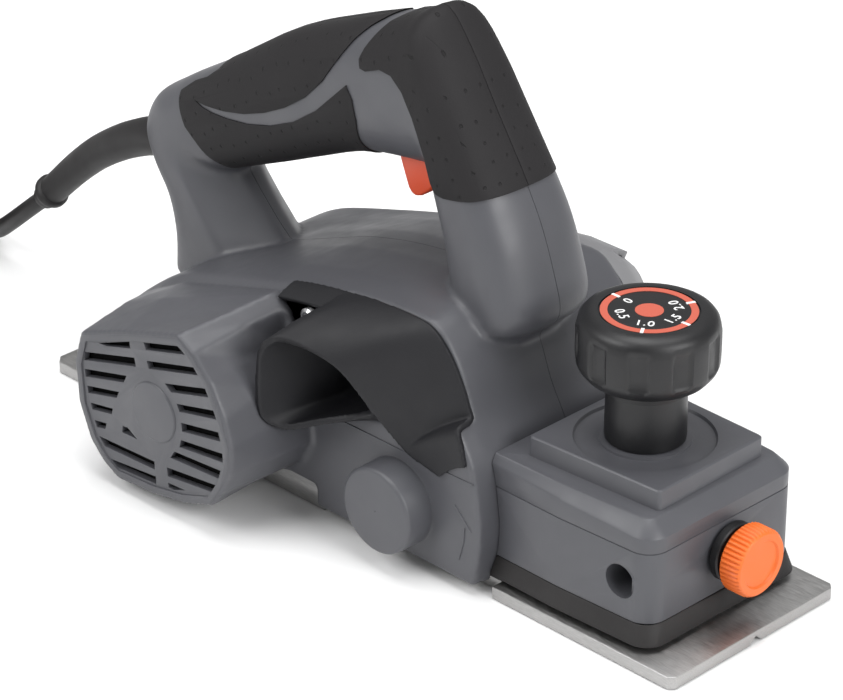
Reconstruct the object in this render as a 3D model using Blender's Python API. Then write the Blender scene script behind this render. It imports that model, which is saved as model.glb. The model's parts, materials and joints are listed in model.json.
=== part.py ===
"""Electric hand planer, modelled as the separate pieces that it comes apart into.

Frame: origin on the sole plane, at mid length and mid width of the sole.
+X runs towards the front shoe, +Y to the belt side, +Z up. Lengths below are
in millimetres and become metres when an object is made.
"""
import math

import bmesh
import bpy
from mathutils import Vector

MM = 0.001
GAP = 0.3                     # clearance between pieces that touch

# Sole
SOLE_HALF = 154.3             # half of the sole's length
SOLE_WIDTH = 82.0             # the standard blade width
SOLE_SIDE = SOLE_WIDTH / 2
PLATE = 4.6                   # thickness of the front shoe and of the rear shoe's tail
REAR_RAIL = 8.2               # height of the rear shoe's body
NECK_SIDE = 36.0              # half width of both shoes beside the cutter
DEPTH_TRAVEL = 2.0            # how far the front shoe rises

SHOE_STEP = 73.8             # the front shoe is full width from here forwards

# Cutter
DRUM_X = 34.5
DRUM_Z = 23.8
DRUM_RADIUS = 21.0
DRUM_SIDE = 40.5
BLADE_RADIUS = 23.7
BLADE_LENGTH = 82.0
MOUTH_RADIUS = 24.9           # clearance circle round the blades
SHAFT_RADIUS = 5.0
BEARING_RADIUS = 11.0
BEARING_WIDTH = 7.0

# Motor
MOTOR_X = -51.0
MOTOR_Z = 38.5
MOTOR_SHAFT_RADIUS = 4.0
CORE_RADIUS = 16.5
STATOR_RADIUS = 25.4
POD_END = -82.5               # outer face of the motor pod

# Belt drive
PULLEY_LOW = 51.0
PULLEY_HIGH = 60.0
MOTOR_PULLEY_RADIUS = 8.0
DRUM_PULLEY_RADIUS = 13.5
BELT_THICKNESS = 2.2
COVER_FACE = 64.0
COVER_SCREW = (-5.0, 60.0)

# Body and handle
BODY_SIDE = 45.5
WALL = 3.0
SPLIT = 0.15                  # half of the gap between the two shells
BODY_FLOOR = 8.5              # underside of the shells above the rear shoe
PANEL_FLOOR = 3.8             # underside of the panels beside the cutter
PANEL_REAR = -7.4             # where the panels beside the cutter start
GRIP_SKIN = 2.2               # thickness of the soft grips

# Front housing, depth knob and fence clamp
HOUSING_FRONT = 139.5
HOUSING_RIGHT = -37.0
HOUSING_LEFT = 38.0
HOUSING_FLOOR = 13.0
KNOB_X = 103.75
KNOB_RADIUS = 23.9
NECK_RADIUS = 13.7
KNOB_TOP = 104.6
NECK_FOOT = 58.6
PAD_TOP = 57.8
ROD_X = 126.4
ROD_Z = 27.5
ROD_RADIUS = 6.2
FENCE_Y = 2.0
FENCE_Z = 29.2
FENCE_FACE = 154.0
FENCE_RADIUS = 12.4

# Mains lead
LEAD_DIAMETER = 7.0
COIL_X = -318.0
COIL_Y = -14.0
COIL_INNER_TURN = 35.0        # centre-line radius of the coil's inner turns
COIL_OUTER_TURN = 42.0
COIL_LAYERS = 4

# The body's side profile as (x, z), from the rear foot over the top to the front foot
BODY_PROFILE = [
    (-118.0, BODY_FLOOR), (-114.0, 30.0), (-109.8, 44.0), (-95.0, 57.0), (-84.0, 64.0),
    (-71.6, 68.7), (-46.6, 75.9), (-22.6, 82.6), (-3.5, 87.2), (17.6, 90.2), (35.8, 91.3),
    (43.7, 90.0), (49.7, 84.9), (55.7, 76.1), (61.3, 62.3), (68.6, 49.0), (71.5, 35.5),
    (72.5, 22.0), (69.5, PANEL_FLOOR), (PANEL_REAR, PANEL_FLOOR), (PANEL_REAR, BODY_FLOOR),
]

# The motor pod's outline as (x, z) at its end, part way in and at the body's side wall
POD_OUTLINE = [
    (-79.8, 59.5), (-57.0, 67.8), (-34.6, 74.0), (-28.0, 70.5), (-20.0, 63.5), (-12.6, 54.0),
    (-8.6, 42.0), (-8.0, 30.0), (-13.0, 20.5), (-21.9, 13.5), (-38.0, 9.6), (-55.0, 8.8),
    (-72.3, 8.8), (-79.5, 16.0), (-85.0, 27.0), (-89.8, 42.0), (-87.0, 52.0),
]
POD_MIDDLE = [
    (-88.0, 59.5), (-68.0, 68.3), (-34.6, 74.3), (-28.0, 70.7), (-20.0, 63.5), (-12.6, 54.0),
    (-8.6, 42.0), (-8.0, 30.0), (-13.0, 20.5), (-21.9, 13.5), (-38.0, 9.6), (-58.0, 8.8),
    (-80.0, 8.8), (-87.0, 16.0), (-92.5, 27.0), (-97.0, 43.0), (-93.5, 53.0),
]
POD_ROOT = [
    (-94.0, 56.0), (-76.0, 65.5), (-34.6, 75.0), (-28.0, 71.0), (-20.0, 63.5), (-12.6, 54.0),
    (-8.6, 42.0), (-8.0, 30.0), (-13.0, 20.5), (-21.9, 13.5), (-38.0, 9.6), (-62.0, 8.8),
    (-92.0, 8.8), (-101.0, 16.0), (-107.0, 27.0), (-109.5, 41.0), (-103.0, 49.0),
]

# The handle: each station gives its outer and inner point (x, z), and its half width
HANDLE = [
    ((-119.2, 47.0), (-58.0, 47.0), 19.0),
    ((-118.7, 62.0), (-60.0, 64.0), 19.0),
    ((-121.7, 77.0), (-73.0, 76.0), 18.5),
    ((-128.9, 88.0), (-83.5, 86.5), 18.0),
    ((-133.2, 99.0), (-88.0, 92.0), 17.5),
    ((-128.2, 111.2), (-86.0, 94.5), 17.5),
    ((-116.6, 119.6), (-80.5, 97.0), 17.5),
    ((-104.5, 127.0), (-74.0, 99.8), 17.5),
    ((-85.8, 137.8), (-61.0, 105.3), 17.5),
    ((-59.2, 154.5), (-40.5, 114.5), 18.0),
    ((-33.6, 165.7), (-20.5, 122.6), 18.0),
    ((-13.8, 173.4), (-3.5, 125.8), 18.0),
    ((1.9, 179.0), (8.0, 127.4), 18.0),
    ((12.0, 183.0), (14.5, 128.0), 18.5),
    ((22.8, 171.3), (17.0, 127.0), 19.3),
    ((35.0, 152.0), (18.5, 124.0), 20.4),
    ((47.2, 131.2), (20.6, 117.5), 21.2),
    ((53.7, 116.0), (24.0, 108.0), 21.7),
    ((59.6, 98.9), (26.0, 96.0), 22.6),
    ((63.0, 84.0), (24.0, 84.0), 22.5),
    ((63.0, 74.0), (24.0, 74.0), 22.5),
]
HANDLE_SECTION = 10           # facets round half of a handle section
HANDLE_POWER = 2.7            # superellipse exponent: rounder than a box

# Chip chute: its inner end, its throat in the side wall and its mouth
CHUTE_WALL = 2.2
CHUTE_SCREW = (-7.5, 78.0)
CHUTE_MOUTH = [
    (-8.5, 50.0), (-8.5, 70.0), (-4.0, 76.3), (6.0, 77.0), (16.0, 73.6), (23.0, 67.2),
    (30.0, 58.5), (37.5, 49.0), (28.0, 46.8), (14.0, 45.8), (2.0, 45.2), (-5.0, 45.6),
]
CHUTE_THROAT = [
    (-1.0, 56.0), (-1.0, 71.0), (2.0, 77.5), (11.0, 80.5), (23.0, 81.0), (33.0, 79.0),
    (40.0, 73.0), (44.0, 64.0), (43.0, 56.0), (34.0, 53.0), (18.0, 53.0), (3.0, 53.0),
]
SHIELD = [
    (-21.5, 70.0), (-22.6, 82.6), (-3.5, 87.2), (17.6, 90.2), (35.8, 91.3), (43.7, 90.0),
    (49.7, 84.9), (55.7, 76.1), (61.3, 62.3), (65.8, 50.0), (54.2, 40.8), (20.0, 40.8),
    (2.0, 44.0), (-5.0, 52.0),
]
SHIELD_INNER = -38.0          # the shield wraps the body's shoulder from here outwards


# ---------------------------------------------------------------- materials

FINISHES = {
    "housing_gray": ((0.145, 0.147, 0.155), 0.45, 0.0),
    "cover_gray": ((0.28, 0.28, 0.29), 0.5, 0.0),
    "soft_black": ((0.035, 0.034, 0.036), 0.8, 0.0),
    "hard_black": ((0.022, 0.022, 0.026), 0.4, 0.0),
    "orange": ((0.78, 0.16, 0.04), 0.45, 0.0),
    "bright_orange": ((0.90, 0.26, 0.05), 0.4, 0.0),
    "aluminium": ((0.62, 0.61, 0.60), 0.35, 1.0),
    "steel": ((0.50, 0.50, 0.51), 0.3, 1.0),
    "copper": ((0.62, 0.30, 0.15), 0.35, 1.0),
    "carbon": ((0.05, 0.05, 0.05), 0.7, 0.0),
    "rubber": ((0.02, 0.02, 0.02), 0.75, 0.0),
}


def finish(name):
    """Return the named material, made on first use."""
    made = bpy.data.materials.get(name)
    if made:
        return made
    color, roughness, metallic = FINISHES[name]
    made = bpy.data.materials.new(name)
    made.use_nodes = True
    shader = made.node_tree.nodes["Principled BSDF"]
    shader.inputs["Base Color"].default_value = (*color, 1.0)
    shader.inputs["Roughness"].default_value = roughness
    shader.inputs["Metallic"].default_value = metallic
    return made


# ---------------------------------------------------------------- outlines

def circle(cx, cy, radius, count, start=0.0):
    """Points of a circle in a plane, anticlockwise."""
    step = 2 * math.pi / count
    return [(cx + radius * math.cos(start + i * step), cy + radius * math.sin(start + i * step))
            for i in range(count)]


def rectangle(x0, y0, x1, y1):
    """Corners of a rectangle."""
    return [(x0, y0), (x1, y0), (x1, y1), (x0, y1)]


def rounded(corners, radius, steps=3):
    """Round each corner of a convex outline with an arc of the given radius."""
    out = []
    count = len(corners)
    for i in range(count):
        here = Vector(corners[i])
        back = (Vector(corners[i - 1]) - here).normalized()
        ahead = (Vector(corners[(i + 1) % count]) - here).normalized()
        half = back.angle(ahead) / 2
        centre = here + (back + ahead).normalized() * (radius / math.sin(half))
        start = here + back * (radius / math.tan(half)) - centre
        end = here + ahead * (radius / math.tan(half)) - centre
        turn = start.angle_signed(end)
        for k in range(steps + 1):
            angle = -turn * k / steps
            c, s = math.cos(angle), math.sin(angle)
            spun = Vector((start.x * c - start.y * s, start.x * s + start.y * c))
            out.append(tuple(centre + spun))
    return out


def inset(outline, distance):
    """Move every side of an outline inwards by a distance (outwards if negative)."""
    count = len(outline)
    area = sum(outline[i - 1][0] * outline[i][1] - outline[i][0] * outline[i - 1][1]
               for i in range(count))
    side = 1.0 if area > 0 else -1.0
    out = []
    for i in range(count):
        here = Vector(outline[i])
        before = (here - Vector(outline[i - 1])).normalized()
        after = (Vector(outline[(i + 1) % count]) - here).normalized()
        n1 = Vector((-before.y, before.x)) * side
        n2 = Vector((-after.y, after.x)) * side
        middle = (n1 + n2).normalized()
        out.append(tuple(here + middle * (distance / max(0.5, middle.dot(n1)))))
    return out


# ---------------------------------------------------------------- solids

def lay(point, axis, height):
    """Lift a plane point to 3-D: the plane's normal is the given axis."""
    a, b = point
    if axis == "X":
        return (height, a, b)
    if axis == "Y":
        return (a, height, b)
    return (a, b, height)


def loft(rings):
    """A closed solid through rings of equally many points."""
    count = len(rings[0])
    verts = [point for ring in rings for point in ring]
    faces = [list(range(count)), list(range((len(rings) - 1) * count, len(rings) * count))]
    for r in range(len(rings) - 1):
        for i in range(count):
            j = (i + 1) % count
            faces.append([r * count + i, r * count + j, (r + 1) * count + j, (r + 1) * count + i])
    return verts, faces


def prism(outline, axis, low, high):
    """An outline extruded along an axis."""
    return loft([[lay(p, axis, low) for p in outline], [lay(p, axis, high) for p in outline]])


def band(outer, inner, axis, low, high):
    """A closed band between two outlines of equally many points, extruded."""
    count = len(outer)
    rings = [[lay(p, axis, h) for p in o] for o, h in
             ((outer, low), (outer, high), (inner, high), (inner, low))]
    verts = [point for ring in rings for point in ring]
    faces = []
    for r in range(4):
        for i in range(count):
            j = (i + 1) % count
            s = (r + 1) % 4
            faces.append([r * count + i, r * count + j, s * count + j, s * count + i])
    return verts, faces


def lathe(profile, axis, centre, count):
    """Turn a profile of (radius, height) about an axis through centre.

    A profile that starts and ends at radius 0 is closed there, and any other
    profile is a closed loop, so it makes a ring.
    """
    solid = profile[0][0] == 0 and profile[-1][0] == 0
    verts, starts = [], []
    for radius, height in profile:
        starts.append(len(verts))
        if radius == 0:
            verts.append(lay(centre, axis, height))
        else:
            verts.extend(lay(p, axis, height) for p in circle(*centre, radius, count))
    faces = []
    for k in range(len(profile) - (1 if solid else 0)):
        n = (k + 1) % len(profile)
        for i in range(count):
            j = (i + 1) % count
            if profile[k][0] == 0:
                faces.append([starts[k], starts[n] + i, starts[n] + j])
            elif profile[n][0] == 0:
                faces.append([starts[k] + i, starts[k] + j, starts[n]])
            else:
                faces.append([starts[k] + i, starts[k] + j, starts[n] + j, starts[n] + i])
    return verts, faces


def box(low, high):
    """A box between two corners."""
    return prism(rectangle(low[0], low[1], high[0], high[1]), "Z", low[2], high[2])


def make(name, solid, material, origin=(0.0, 0.0, 0.0), parent=None):
    """Make an object from a solid given in millimetres, with its origin where asked."""
    verts, faces = solid
    mesh = bpy.data.meshes.new(name)
    mesh.from_pydata([[(v[k] - origin[k]) * MM for k in range(3)] for v in verts], [], faces)
    cleaner = bmesh.new()
    cleaner.from_mesh(mesh)
    bmesh.ops.recalc_face_normals(cleaner, faces=cleaner.faces)
    cleaner.to_mesh(mesh)
    cleaner.free()
    mesh.materials.append(finish(material))
    obj = bpy.data.objects.new(name, mesh)
    obj.location = Vector(origin) * MM
    bpy.context.collection.objects.link(obj)
    if parent:
        obj.parent = parent
        obj.location = (Vector(origin) * MM) - parent.location
    bpy.context.view_layer.update()
    return obj


def combine(target, solid, operation):
    """Apply a Boolean with another solid to an object's mesh."""
    other = make("tool", solid, "steel")
    modifier = target.modifiers.new("shape", "BOOLEAN")
    modifier.operation = operation
    modifier.object = other
    graph = bpy.context.evaluated_depsgraph_get()
    mesh = bpy.data.meshes.new_from_object(target.evaluated_get(graph))
    target.modifiers.remove(modifier)
    target.data = mesh
    bpy.data.objects.remove(other, do_unlink=True)
    return target


def join(target, *solids):
    """Unite solids with an object."""
    for solid in solids:
        combine(target, solid, "UNION")
    return target


def cut(target, *solids):
    """Take solids away from an object."""
    for solid in solids:
        combine(target, solid, "DIFFERENCE")
    return target


def round_off(obj, angle=35.0):
    """Shade a round piece smooth with its edges kept sharp."""
    obj.data.shade_smooth()
    obj.data.set_sharp_from_angle(angle=math.radians(angle))
    return obj


def pivot(name, point):
    """An empty on a joint's axis, the parent of what turns or slides there."""
    empty = bpy.data.objects.new(name, None)
    empty.location = Vector(point) * MM
    empty.empty_display_size = 0.02
    bpy.context.collection.objects.link(empty)
    return empty


# ---------------------------------------------------------------- sole

def mouth_edge(x_side, low, high, steps):
    """Points (x, z) of the clearance circle round the blades, on one side of the drum."""
    out = []
    for i in range(steps + 1):
        z = low + (high - low) * i / steps
        out.append((DRUM_X + x_side * math.sqrt(MOUTH_RADIUS ** 2 - (DRUM_Z - z) ** 2), z))
    return out


def rear_shoe():
    lip = mouth_edge(-1, 1.2, REAR_RAIL, 4)
    outline = [(-SOLE_HALF, 0.0), (lip[0][0], 0.0), *lip, (-125.0, REAR_RAIL), (-128.0, PLATE),
               (-SOLE_HALF, PLATE)]
    shoe = make("rear_shoe", prism(outline, "Y", -SOLE_SIDE, SOLE_SIDE), "aluminium")
    for side in (-1, 1):
        y0, y1 = sorted((side * NECK_SIDE, side * (SOLE_SIDE + 1)))
        cut(shoe, box((PANEL_REAR, y0, -1), (DRUM_X, y1, REAR_RAIL + 1)))
        tip = [(-SOLE_HALF - 1, side * (SOLE_SIDE - 4)), (-SOLE_HALF - 1, side * (SOLE_SIDE + 1)),
               (-SOLE_HALF + 4, side * (SOLE_SIDE + 1))]
        cut(shoe, prism(tip, "Z", -1, PLATE + 1))


def front_shoe(carrier):
    back = DRUM_X + 17.5
    plan = [(back, -NECK_SIDE), (SHOE_STEP, -NECK_SIDE), (SHOE_STEP, -SOLE_SIDE), (SOLE_HALF - 2, -SOLE_SIDE),
            (SOLE_HALF, -SOLE_SIDE + 2), (SOLE_HALF, SOLE_SIDE - 2), (SOLE_HALF - 2, SOLE_SIDE),
            (SHOE_STEP, SOLE_SIDE), (SHOE_STEP, NECK_SIDE), (back, NECK_SIDE)]
    shoe = make("front_shoe", prism(plan, "Z", 0.0, PLATE), "aluminium",
                origin=(KNOB_X, 0.0, 0.0), parent=carrier)
    groove = [(-2.6, -0.2), (3.8, -0.2), (0.6, 2.7)]
    boss = lathe([(0, PLATE - 1), (9.0, PLATE - 1), (9.0, 30.0), (0, 30.0)], "Z", (KNOB_X, 0.0), 20)
    screw_hole = lathe([(0, 8.0), (3.4, 8.0), (3.4, 31.0), (0, 31.0)], "Z", (KNOB_X, 0.0), 16)
    join(shoe, boss)
    cut(shoe, prism(groove, "X", back - 1, SOLE_HALF + 1), screw_hole)


def housing_plan(grow=0.0):
    """The front housing's plan (x, y), its rear hidden behind the body's front wall."""
    corners = [(60.0, HOUSING_RIGHT + 0.6 - grow), (104.0, HOUSING_RIGHT - grow),
               (HOUSING_FRONT - 0.6 + grow, HOUSING_RIGHT + 1.6 - grow),
               (HOUSING_FRONT + grow, HOUSING_LEFT + grow), (60.0, HOUSING_LEFT + grow)]
    front = rounded(corners, 9.0, 4)
    return [(60.0, corners[0][1])] + front[5:20] + [(60.0, corners[4][1])]


def body_front_tool():
    """The body's volume grown by the gap, to trim the pieces that meet its front wall."""
    return prism(inset(BODY_PROFILE, -GAP), "Y", -60.0, 60.0)


def front_gasket(carrier):
    """Soft ring on the front shoe, which rises inside the skirt."""
    outer = [p for p in rounded([(77.0, -35.0), (HOUSING_FRONT - 1.8, -35.0),
                                 (HOUSING_FRONT - 1.8, 36.0), (77.0, 36.0)], 6.0)]
    inner = inset(outer, 2.0)
    make("shoe_gasket", band(outer, inner, "Z", PLATE + GAP, 9.0), "rubber",
         origin=(KNOB_X, 0.0, 0.0), parent=carrier)


def front_skirt():
    """Black band under the housing, fixed to it."""
    outer = housing_plan(0.4)
    solid = prism(outer, "Z", PLATE + DEPTH_TRAVEL + GAP, HOUSING_FLOOR - GAP)
    skirt = make("front_skirt", solid, "hard_black")
    hollow = rounded([(50.0, -35.4), (HOUSING_FRONT - 1.3, -35.4),
                      (HOUSING_FRONT - 1.3, 36.4), (50.0, 36.4)], 6.4)
    cut(skirt, prism(hollow, "Z", 0.0, 20.0), body_front_tool())


def front_housing():
    """The gray block that carries the depth knob and clamps the fence rod."""
    base = housing_plan()
    top = [(x, y) for x, y in inset(base, 2.4)]
    rings = [[lay(p, "Z", HOUSING_FLOOR) for p in base],
             [(x, y, 49.3 - 3.0 * (x - 70.0) / 70.0) for x, y in base],
             [(x, y, 51.6) for x, y in top]]
    housing = make("front_housing", loft(rings), "housing_gray")
    pad = rounded([(60.0, -29.0), (132.5, -24.7), (132.5, 26.5), (60.0, 31.0)], 4.0)
    join(housing, prism(pad, "Z", 48.0, PAD_TOP))
    hollow = [(x, y) for x, y in inset(base, 2.6)]
    cut(housing,
        prism(hollow, "Z", HOUSING_FLOOR - 1, 45.0),
        lathe([(0, 44.0), (5.3, 44.0), (5.3, 60.0), (0, 60.0)], "Z", (KNOB_X, 0.0), 24),
        lathe([(0, PAD_TOP - 0.9), (23.8, PAD_TOP - 0.9), (24.4, 60.0), (0, 60.0)],
              "Z", (KNOB_X, 0.0), 32),
        lathe([(0, -45.0), (ROD_RADIUS, -45.0), (ROD_RADIUS, -30.0), (0, -30.0)],
              "Y", (ROD_X, ROD_Z), 24),
        lathe([(0, 135.0), (3.4, 135.0), (3.4, 142.0), (0, 142.0)], "X", (FENCE_Y, FENCE_Z), 20),
        body_front_tool())


# ---------------------------------------------------------------- shells and handle

def handle_ring(station, side, grow, sweep=(0.0, 1.0), offset=None):
    """Half of a handle section at a station, on one side of the split.

    The half runs from the outer point round to the inner point. A sweep keeps a
    part of that run, and grow adds to both half axes.
    """
    (ox, oz), (ix, iz), width = station
    cx, cz = (ox + ix) / 2, (oz + iz) / 2
    half = math.hypot(ox - ix, oz - iz) / 2
    ux, uz = (ox - cx) / half, (oz - cz) / half
    low, high = sweep
    ring = []
    for i in range(HANDLE_SECTION + 1):
        angle = math.pi * (low + (high - low) * i / HANDLE_SECTION)
        c, s = math.cos(angle), math.sin(angle)
        a = math.copysign(abs(c) ** (2 / HANDLE_POWER), c) * (half + grow)
        b = abs(s) ** (2 / HANDLE_POWER) * (width + grow)
        ring.append((cx + a * ux, side * (b + (SPLIT if offset is None else offset)), cz + a * uz))
    return ring


def handle_half(side, grow, offset=None, first=0, last=None):
    """The half of the handle on one side as a closed solid."""
    stations = HANDLE[first:last]
    return loft([handle_ring(s, side, grow, offset=offset) for s in stations])


def station_between(first, last, share):
    """A handle station part of the way from one to another."""
    (o0, i0, w0), (o1, i1, w1) = first, last
    mix = lambda a, b: a + (b - a) * share
    return ((mix(o0[0], o1[0]), mix(o0[1], o1[1])), (mix(i0[0], i1[0]), mix(i0[1], i1[1])),
            mix(w0, w1))


GRIPS = {
    # name: (first station, last station, start and end of the half section)
    "rear_upper_grip": (5, 10, (0.0, 0.42)),
    "rear_lower_grip": (6, 9, (0.60, 1.0)),
    "front_grip": (12, 16, (0.0, 0.76)),
}


def skin(side, name, outer, inner, room):
    """A patch of the handle's surface: a grip, or with room the recess that takes it."""
    first, last, (low, high) = GRIPS[name]
    run = HANDLE[first:last + 1]
    ease = 0.0 if room else 0.03
    run[0] = station_between(run[0], run[1], ease)
    run[-1] = station_between(run[-1], run[-2], ease)
    clear = 0.0 if room else 0.012
    sweep = (low if low == 0.0 else low + clear, high if high == 1.0 else high - clear)
    rings = []
    for station in run:
        halves = [handle_ring(station, side, grow, sweep) for grow in (outer, inner)]
        if room:
            for ring in halves:
                for end, edge in ((0, low == 0.0), (-1, high == 1.0)):
                    if edge:
                        ring[end] = (ring[end][0], -side * 1.0, ring[end][2])
        rings.append(halves[0] + halves[1][::-1])
    return loft(rings)


def grips(side, label):
    """The soft grips on one shell."""
    for name in GRIPS:
        patch = skin(side, name, 0.3, -GRIP_SKIN + GAP, room=False)
        round_off(make(f"{name}_{label}", patch, "soft_black"))


def pod_solid(depth, end, root):
    """The motor pod as a solid, inset by a depth, between two distances from the middle."""
    return loft([[lay(p, "Y", end) for p in inset(POD_OUTLINE, depth)],
                 [lay(p, "Y", -60.0) for p in inset(POD_MIDDLE, depth)],
                 [lay(p, "Y", -46.5) for p in inset(POD_ROOT, depth)],
                 [lay(p, "Y", root) for p in inset(POD_ROOT, depth)]])


def body_half(side):
    """One shell: body wall, its half of the handle, and on the right side the motor pod."""
    right = side < 0
    name = "right_shell" if right else "left_shell"
    y0, y1 = sorted((side * SPLIT, side * BODY_SIDE))
    shell = make(name, prism(BODY_PROFILE, "Y", y0, y1), "housing_gray")
    join(shell, handle_half(side, 0.0), bearing_boss(side))
    inner = inset(BODY_PROFILE, WALL)
    lifted = [(x, z if z > 15 else z - 12) for x, z in inner]
    y0, y1 = sorted((-side * 1.0, side * (BODY_SIDE - WALL - 0.3)))
    cavity = prism(lifted, "Y", y0, y1)
    if right:
        join(shell, pod_solid(0.0, POD_END, -BODY_SIDE + 2.0))
    slot = [(-13.2, 105.0), (15.5, 105.0), (15.6, 139.0), (-13.3, 139.2)]
    cut(shell, prism(slot, "Y", -8.1, 8.3), cavity,
        handle_half(side, -GRIP_SKIN - WALL, offset=-1.0),
        front_relief(side),
        lathe([(0, -60.0), (BEARING_RADIUS + 0.1, -60.0), (BEARING_RADIUS + 0.1, 60.0),
               (0, 60.0)], "Y", (DRUM_X, DRUM_Z), 24))
    for patch in GRIPS:
        cut(shell, skin(side, patch, 5.0, -GRIP_SKIN, room=True))
    if right:
        cut(shell, pod_solid(WALL, POD_END - 1, -BODY_SIDE + 8.0),
            prism(inset(SHIELD, -GAP), "Y", -BODY_SIDE - 5, SHIELD_INNER + GAP))
    else:
        cut(shell, lathe([(0, 35.0), (9.6, 35.0), (9.6, 60.0), (0, 60.0)],
                         "Y", (MOTOR_X, MOTOR_Z), 24),
            lathe([(0, 11.0), (4.8, 11.0), (4.8, 25.0), (0, 25.0)], "Y", LOCK_CENTRE, 20))
    return shell


def bearing_boss(side):
    """Rings round the drum's bearing (and the motor's, on the left) outside the side wall."""
    reach = 51.0 if side < 0 else 49.0
    y0, y1 = sorted((side * (BODY_SIDE - WALL), side * reach))
    return lathe([(0, y0), (14.4, y0), (14.4, y1), (0, y1)], "Y", (DRUM_X, DRUM_Z), 28)


def front_relief(side):
    """Room for the front shoe's neck to rise under the shell's front wall."""
    y0, y1 = sorted((-side, side * (NECK_SIDE + 0.7)))
    return box((50.0, y0, 0.0), (90.0, y1, PLATE + DEPTH_TRAVEL + 0.8))


def motor_grille():
    """Slotted end cover of the motor pod."""
    outline = inset(POD_OUTLINE, WALL + GAP)
    cover = make("motor_grille", prism(outline, "Y", POD_END + 0.6, POD_END + 3.0), "housing_gray")
    hub = lathe([(0, POD_END), (15.0, POD_END), (16.0, POD_END + 1.5), (16.0, POD_END + 3.0),
                 (12.5, POD_END + 3.0), (12.5, POD_END + 7.5), (0, POD_END + 7.5)],
                "Y", (MOTOR_X, MOTOR_Z), 28)
    seat = lathe([(0, POD_END + 2.4), (9.7, POD_END + 2.4), (9.7, POD_END + 9.0),
                  (0, POD_END + 9.0)], "Y", (MOTOR_X, MOTOR_Z), 24)
    join(cover, hub)
    cut(cover, seat)
    slot, pitch, rib = 3.6, 7.0, 2.5
    for k in range(-4, 4):
        z = 40.7 + k * pitch
        low, high = crossing(outline, z), crossing(outline, z + slot)
        left, right = max(low[0], high[0]) + 3.0, min(low[1], high[1]) - 3.0
        away = min(abs(z - MOTOR_Z), abs(z + slot - MOTOR_Z))
        keep = max(rib, math.sqrt(max(0.0, 18.5 ** 2 - away ** 2)))
        for x0, x1 in ((left, MOTOR_X - keep), (MOTOR_X + keep, right)):
            if x1 - x0 > 4.0:
                cut(cover, box((x0, POD_END - 2, z), (x1, POD_END + 5, z + slot)))


def crossing(outline, height):
    """Smallest and largest first coordinate where an outline crosses a height."""
    hits = []
    for i in range(len(outline)):
        (x0, z0), (x1, z1) = outline[i - 1], outline[i]
        if (z0 > height) != (z1 > height):
            hits.append(x0 + (x1 - x0) * (height - z0) / (z1 - z0))
    return min(hits), max(hits)


def belt_cover():
    """Cup over the belt drive on the left side."""
    outer = [(-70.0, 22.0), (-70.0, 55.0), (-60.0, 66.0), (-38.0, 75.0), (-8.0, 84.5), (20.0, 87.4),
             (40.0, 87.0), (47.0, 83.5), (52.0, 81.5), (58.0, 74.0), (63.0, 64.0), (67.0, 50.0),
             (69.0, 34.0), (66.0, 18.0), (58.0, 4.6), (14.0, 4.6), (-50.0, 14.0)]
    inner = inset(outer, 2.4)
    outside = [[lay(p, "Y", h) for p in o] for o, h in
               ((outer, BODY_SIDE + GAP), (outer, COVER_FACE - 3), (inset(outer, 2.5), COVER_FACE))]
    cover = make("belt_cover", loft(outside), "cover_gray")
    cut(cover, prism(inner, "Y", BODY_SIDE - 2, COVER_FACE - 2.4),
        lathe([(0, 55.0), (1.9, 55.0), (1.9, 70.0), (0, 70.0)], "Y", COVER_SCREW, 12))
    machine_screw("belt_cover_screw", "Y", COVER_SCREW, COVER_FACE + 2.7, 52.0)


def bearing_cap():
    """Round cap over the drum's right bearing."""
    cap = [(0, -57.0), (14.85, -57.0), (15.85, -56.0), (15.85, -BODY_SIDE - GAP),
           (14.75, -BODY_SIDE - GAP), (14.75, -54.4), (0, -54.4)]
    round_off(make("bearing_cap", lathe(cap, "Y", (DRUM_X, DRUM_Z), 40), "housing_gray"))


# ---------------------------------------------------------------- chute

def mouth_ring(outline):
    """The chute's mouth: its plane slants from the pod side out, to the front flush."""
    rear, front = CHUTE_MOUTH[0][0], 40.0
    return [(x, -67.5 + (x - rear) * 21.0 / (front - rear), z) for x, z in outline]


def chute():
    """Duct from the drum's hood out of the right side, with its shield against the body."""
    throat = CHUTE_THROAT
    inner_end = [(14 + (x - 22) * 0.62, 55 + (z - 52.5) * 0.86) for x, z in throat]
    outer = loft([[lay(p, "Y", -9.0) for p in inner_end], [lay(p, "Y", -38.0) for p in throat],
                  [lay(p, "Y", -44.0) for p in throat], mouth_ring(CHUTE_MOUTH)])
    piece = make("chute", prism(SHIELD, "Y", -BODY_SIDE, SHIELD_INNER), "hard_black")
    cut(piece, prism(inset(SHIELD, WALL), "Y", -BODY_SIDE + WALL, SHIELD_INNER + 1),
        box((-30.0, -BODY_SIDE + WALL, 35.0), (80.0, SHIELD_INNER + 1, 59.0)))
    join(piece, outer)
    wall = CHUTE_WALL
    mouth = mouth_ring(inset(CHUTE_MOUTH, wall))
    beyond = [(x, y - 12.0, z) for x, y, z in mouth]
    start = [(x, -9.0 - wall, z) for x, z in inset(inner_end, wall)]
    hollow = loft([start, [lay(p, "Y", -38.0) for p in inset(throat, wall)],
                   [lay(p, "Y", -44.0) for p in inset(throat, wall)], mouth, beyond])
    inlet = box((6.0, -32.0, 47.0), (23.0, -13.0, 62.0))
    cut(piece, hollow, inlet, lathe([(0, -50.0), (1.9, -50.0), (1.9, -40.0), (0, -40.0)],
                             "Y", CHUTE_SCREW, 12))
    machine_screw("chute_screw", "Y", CHUTE_SCREW, -BODY_SIDE - 2.7, -39.0)


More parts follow.
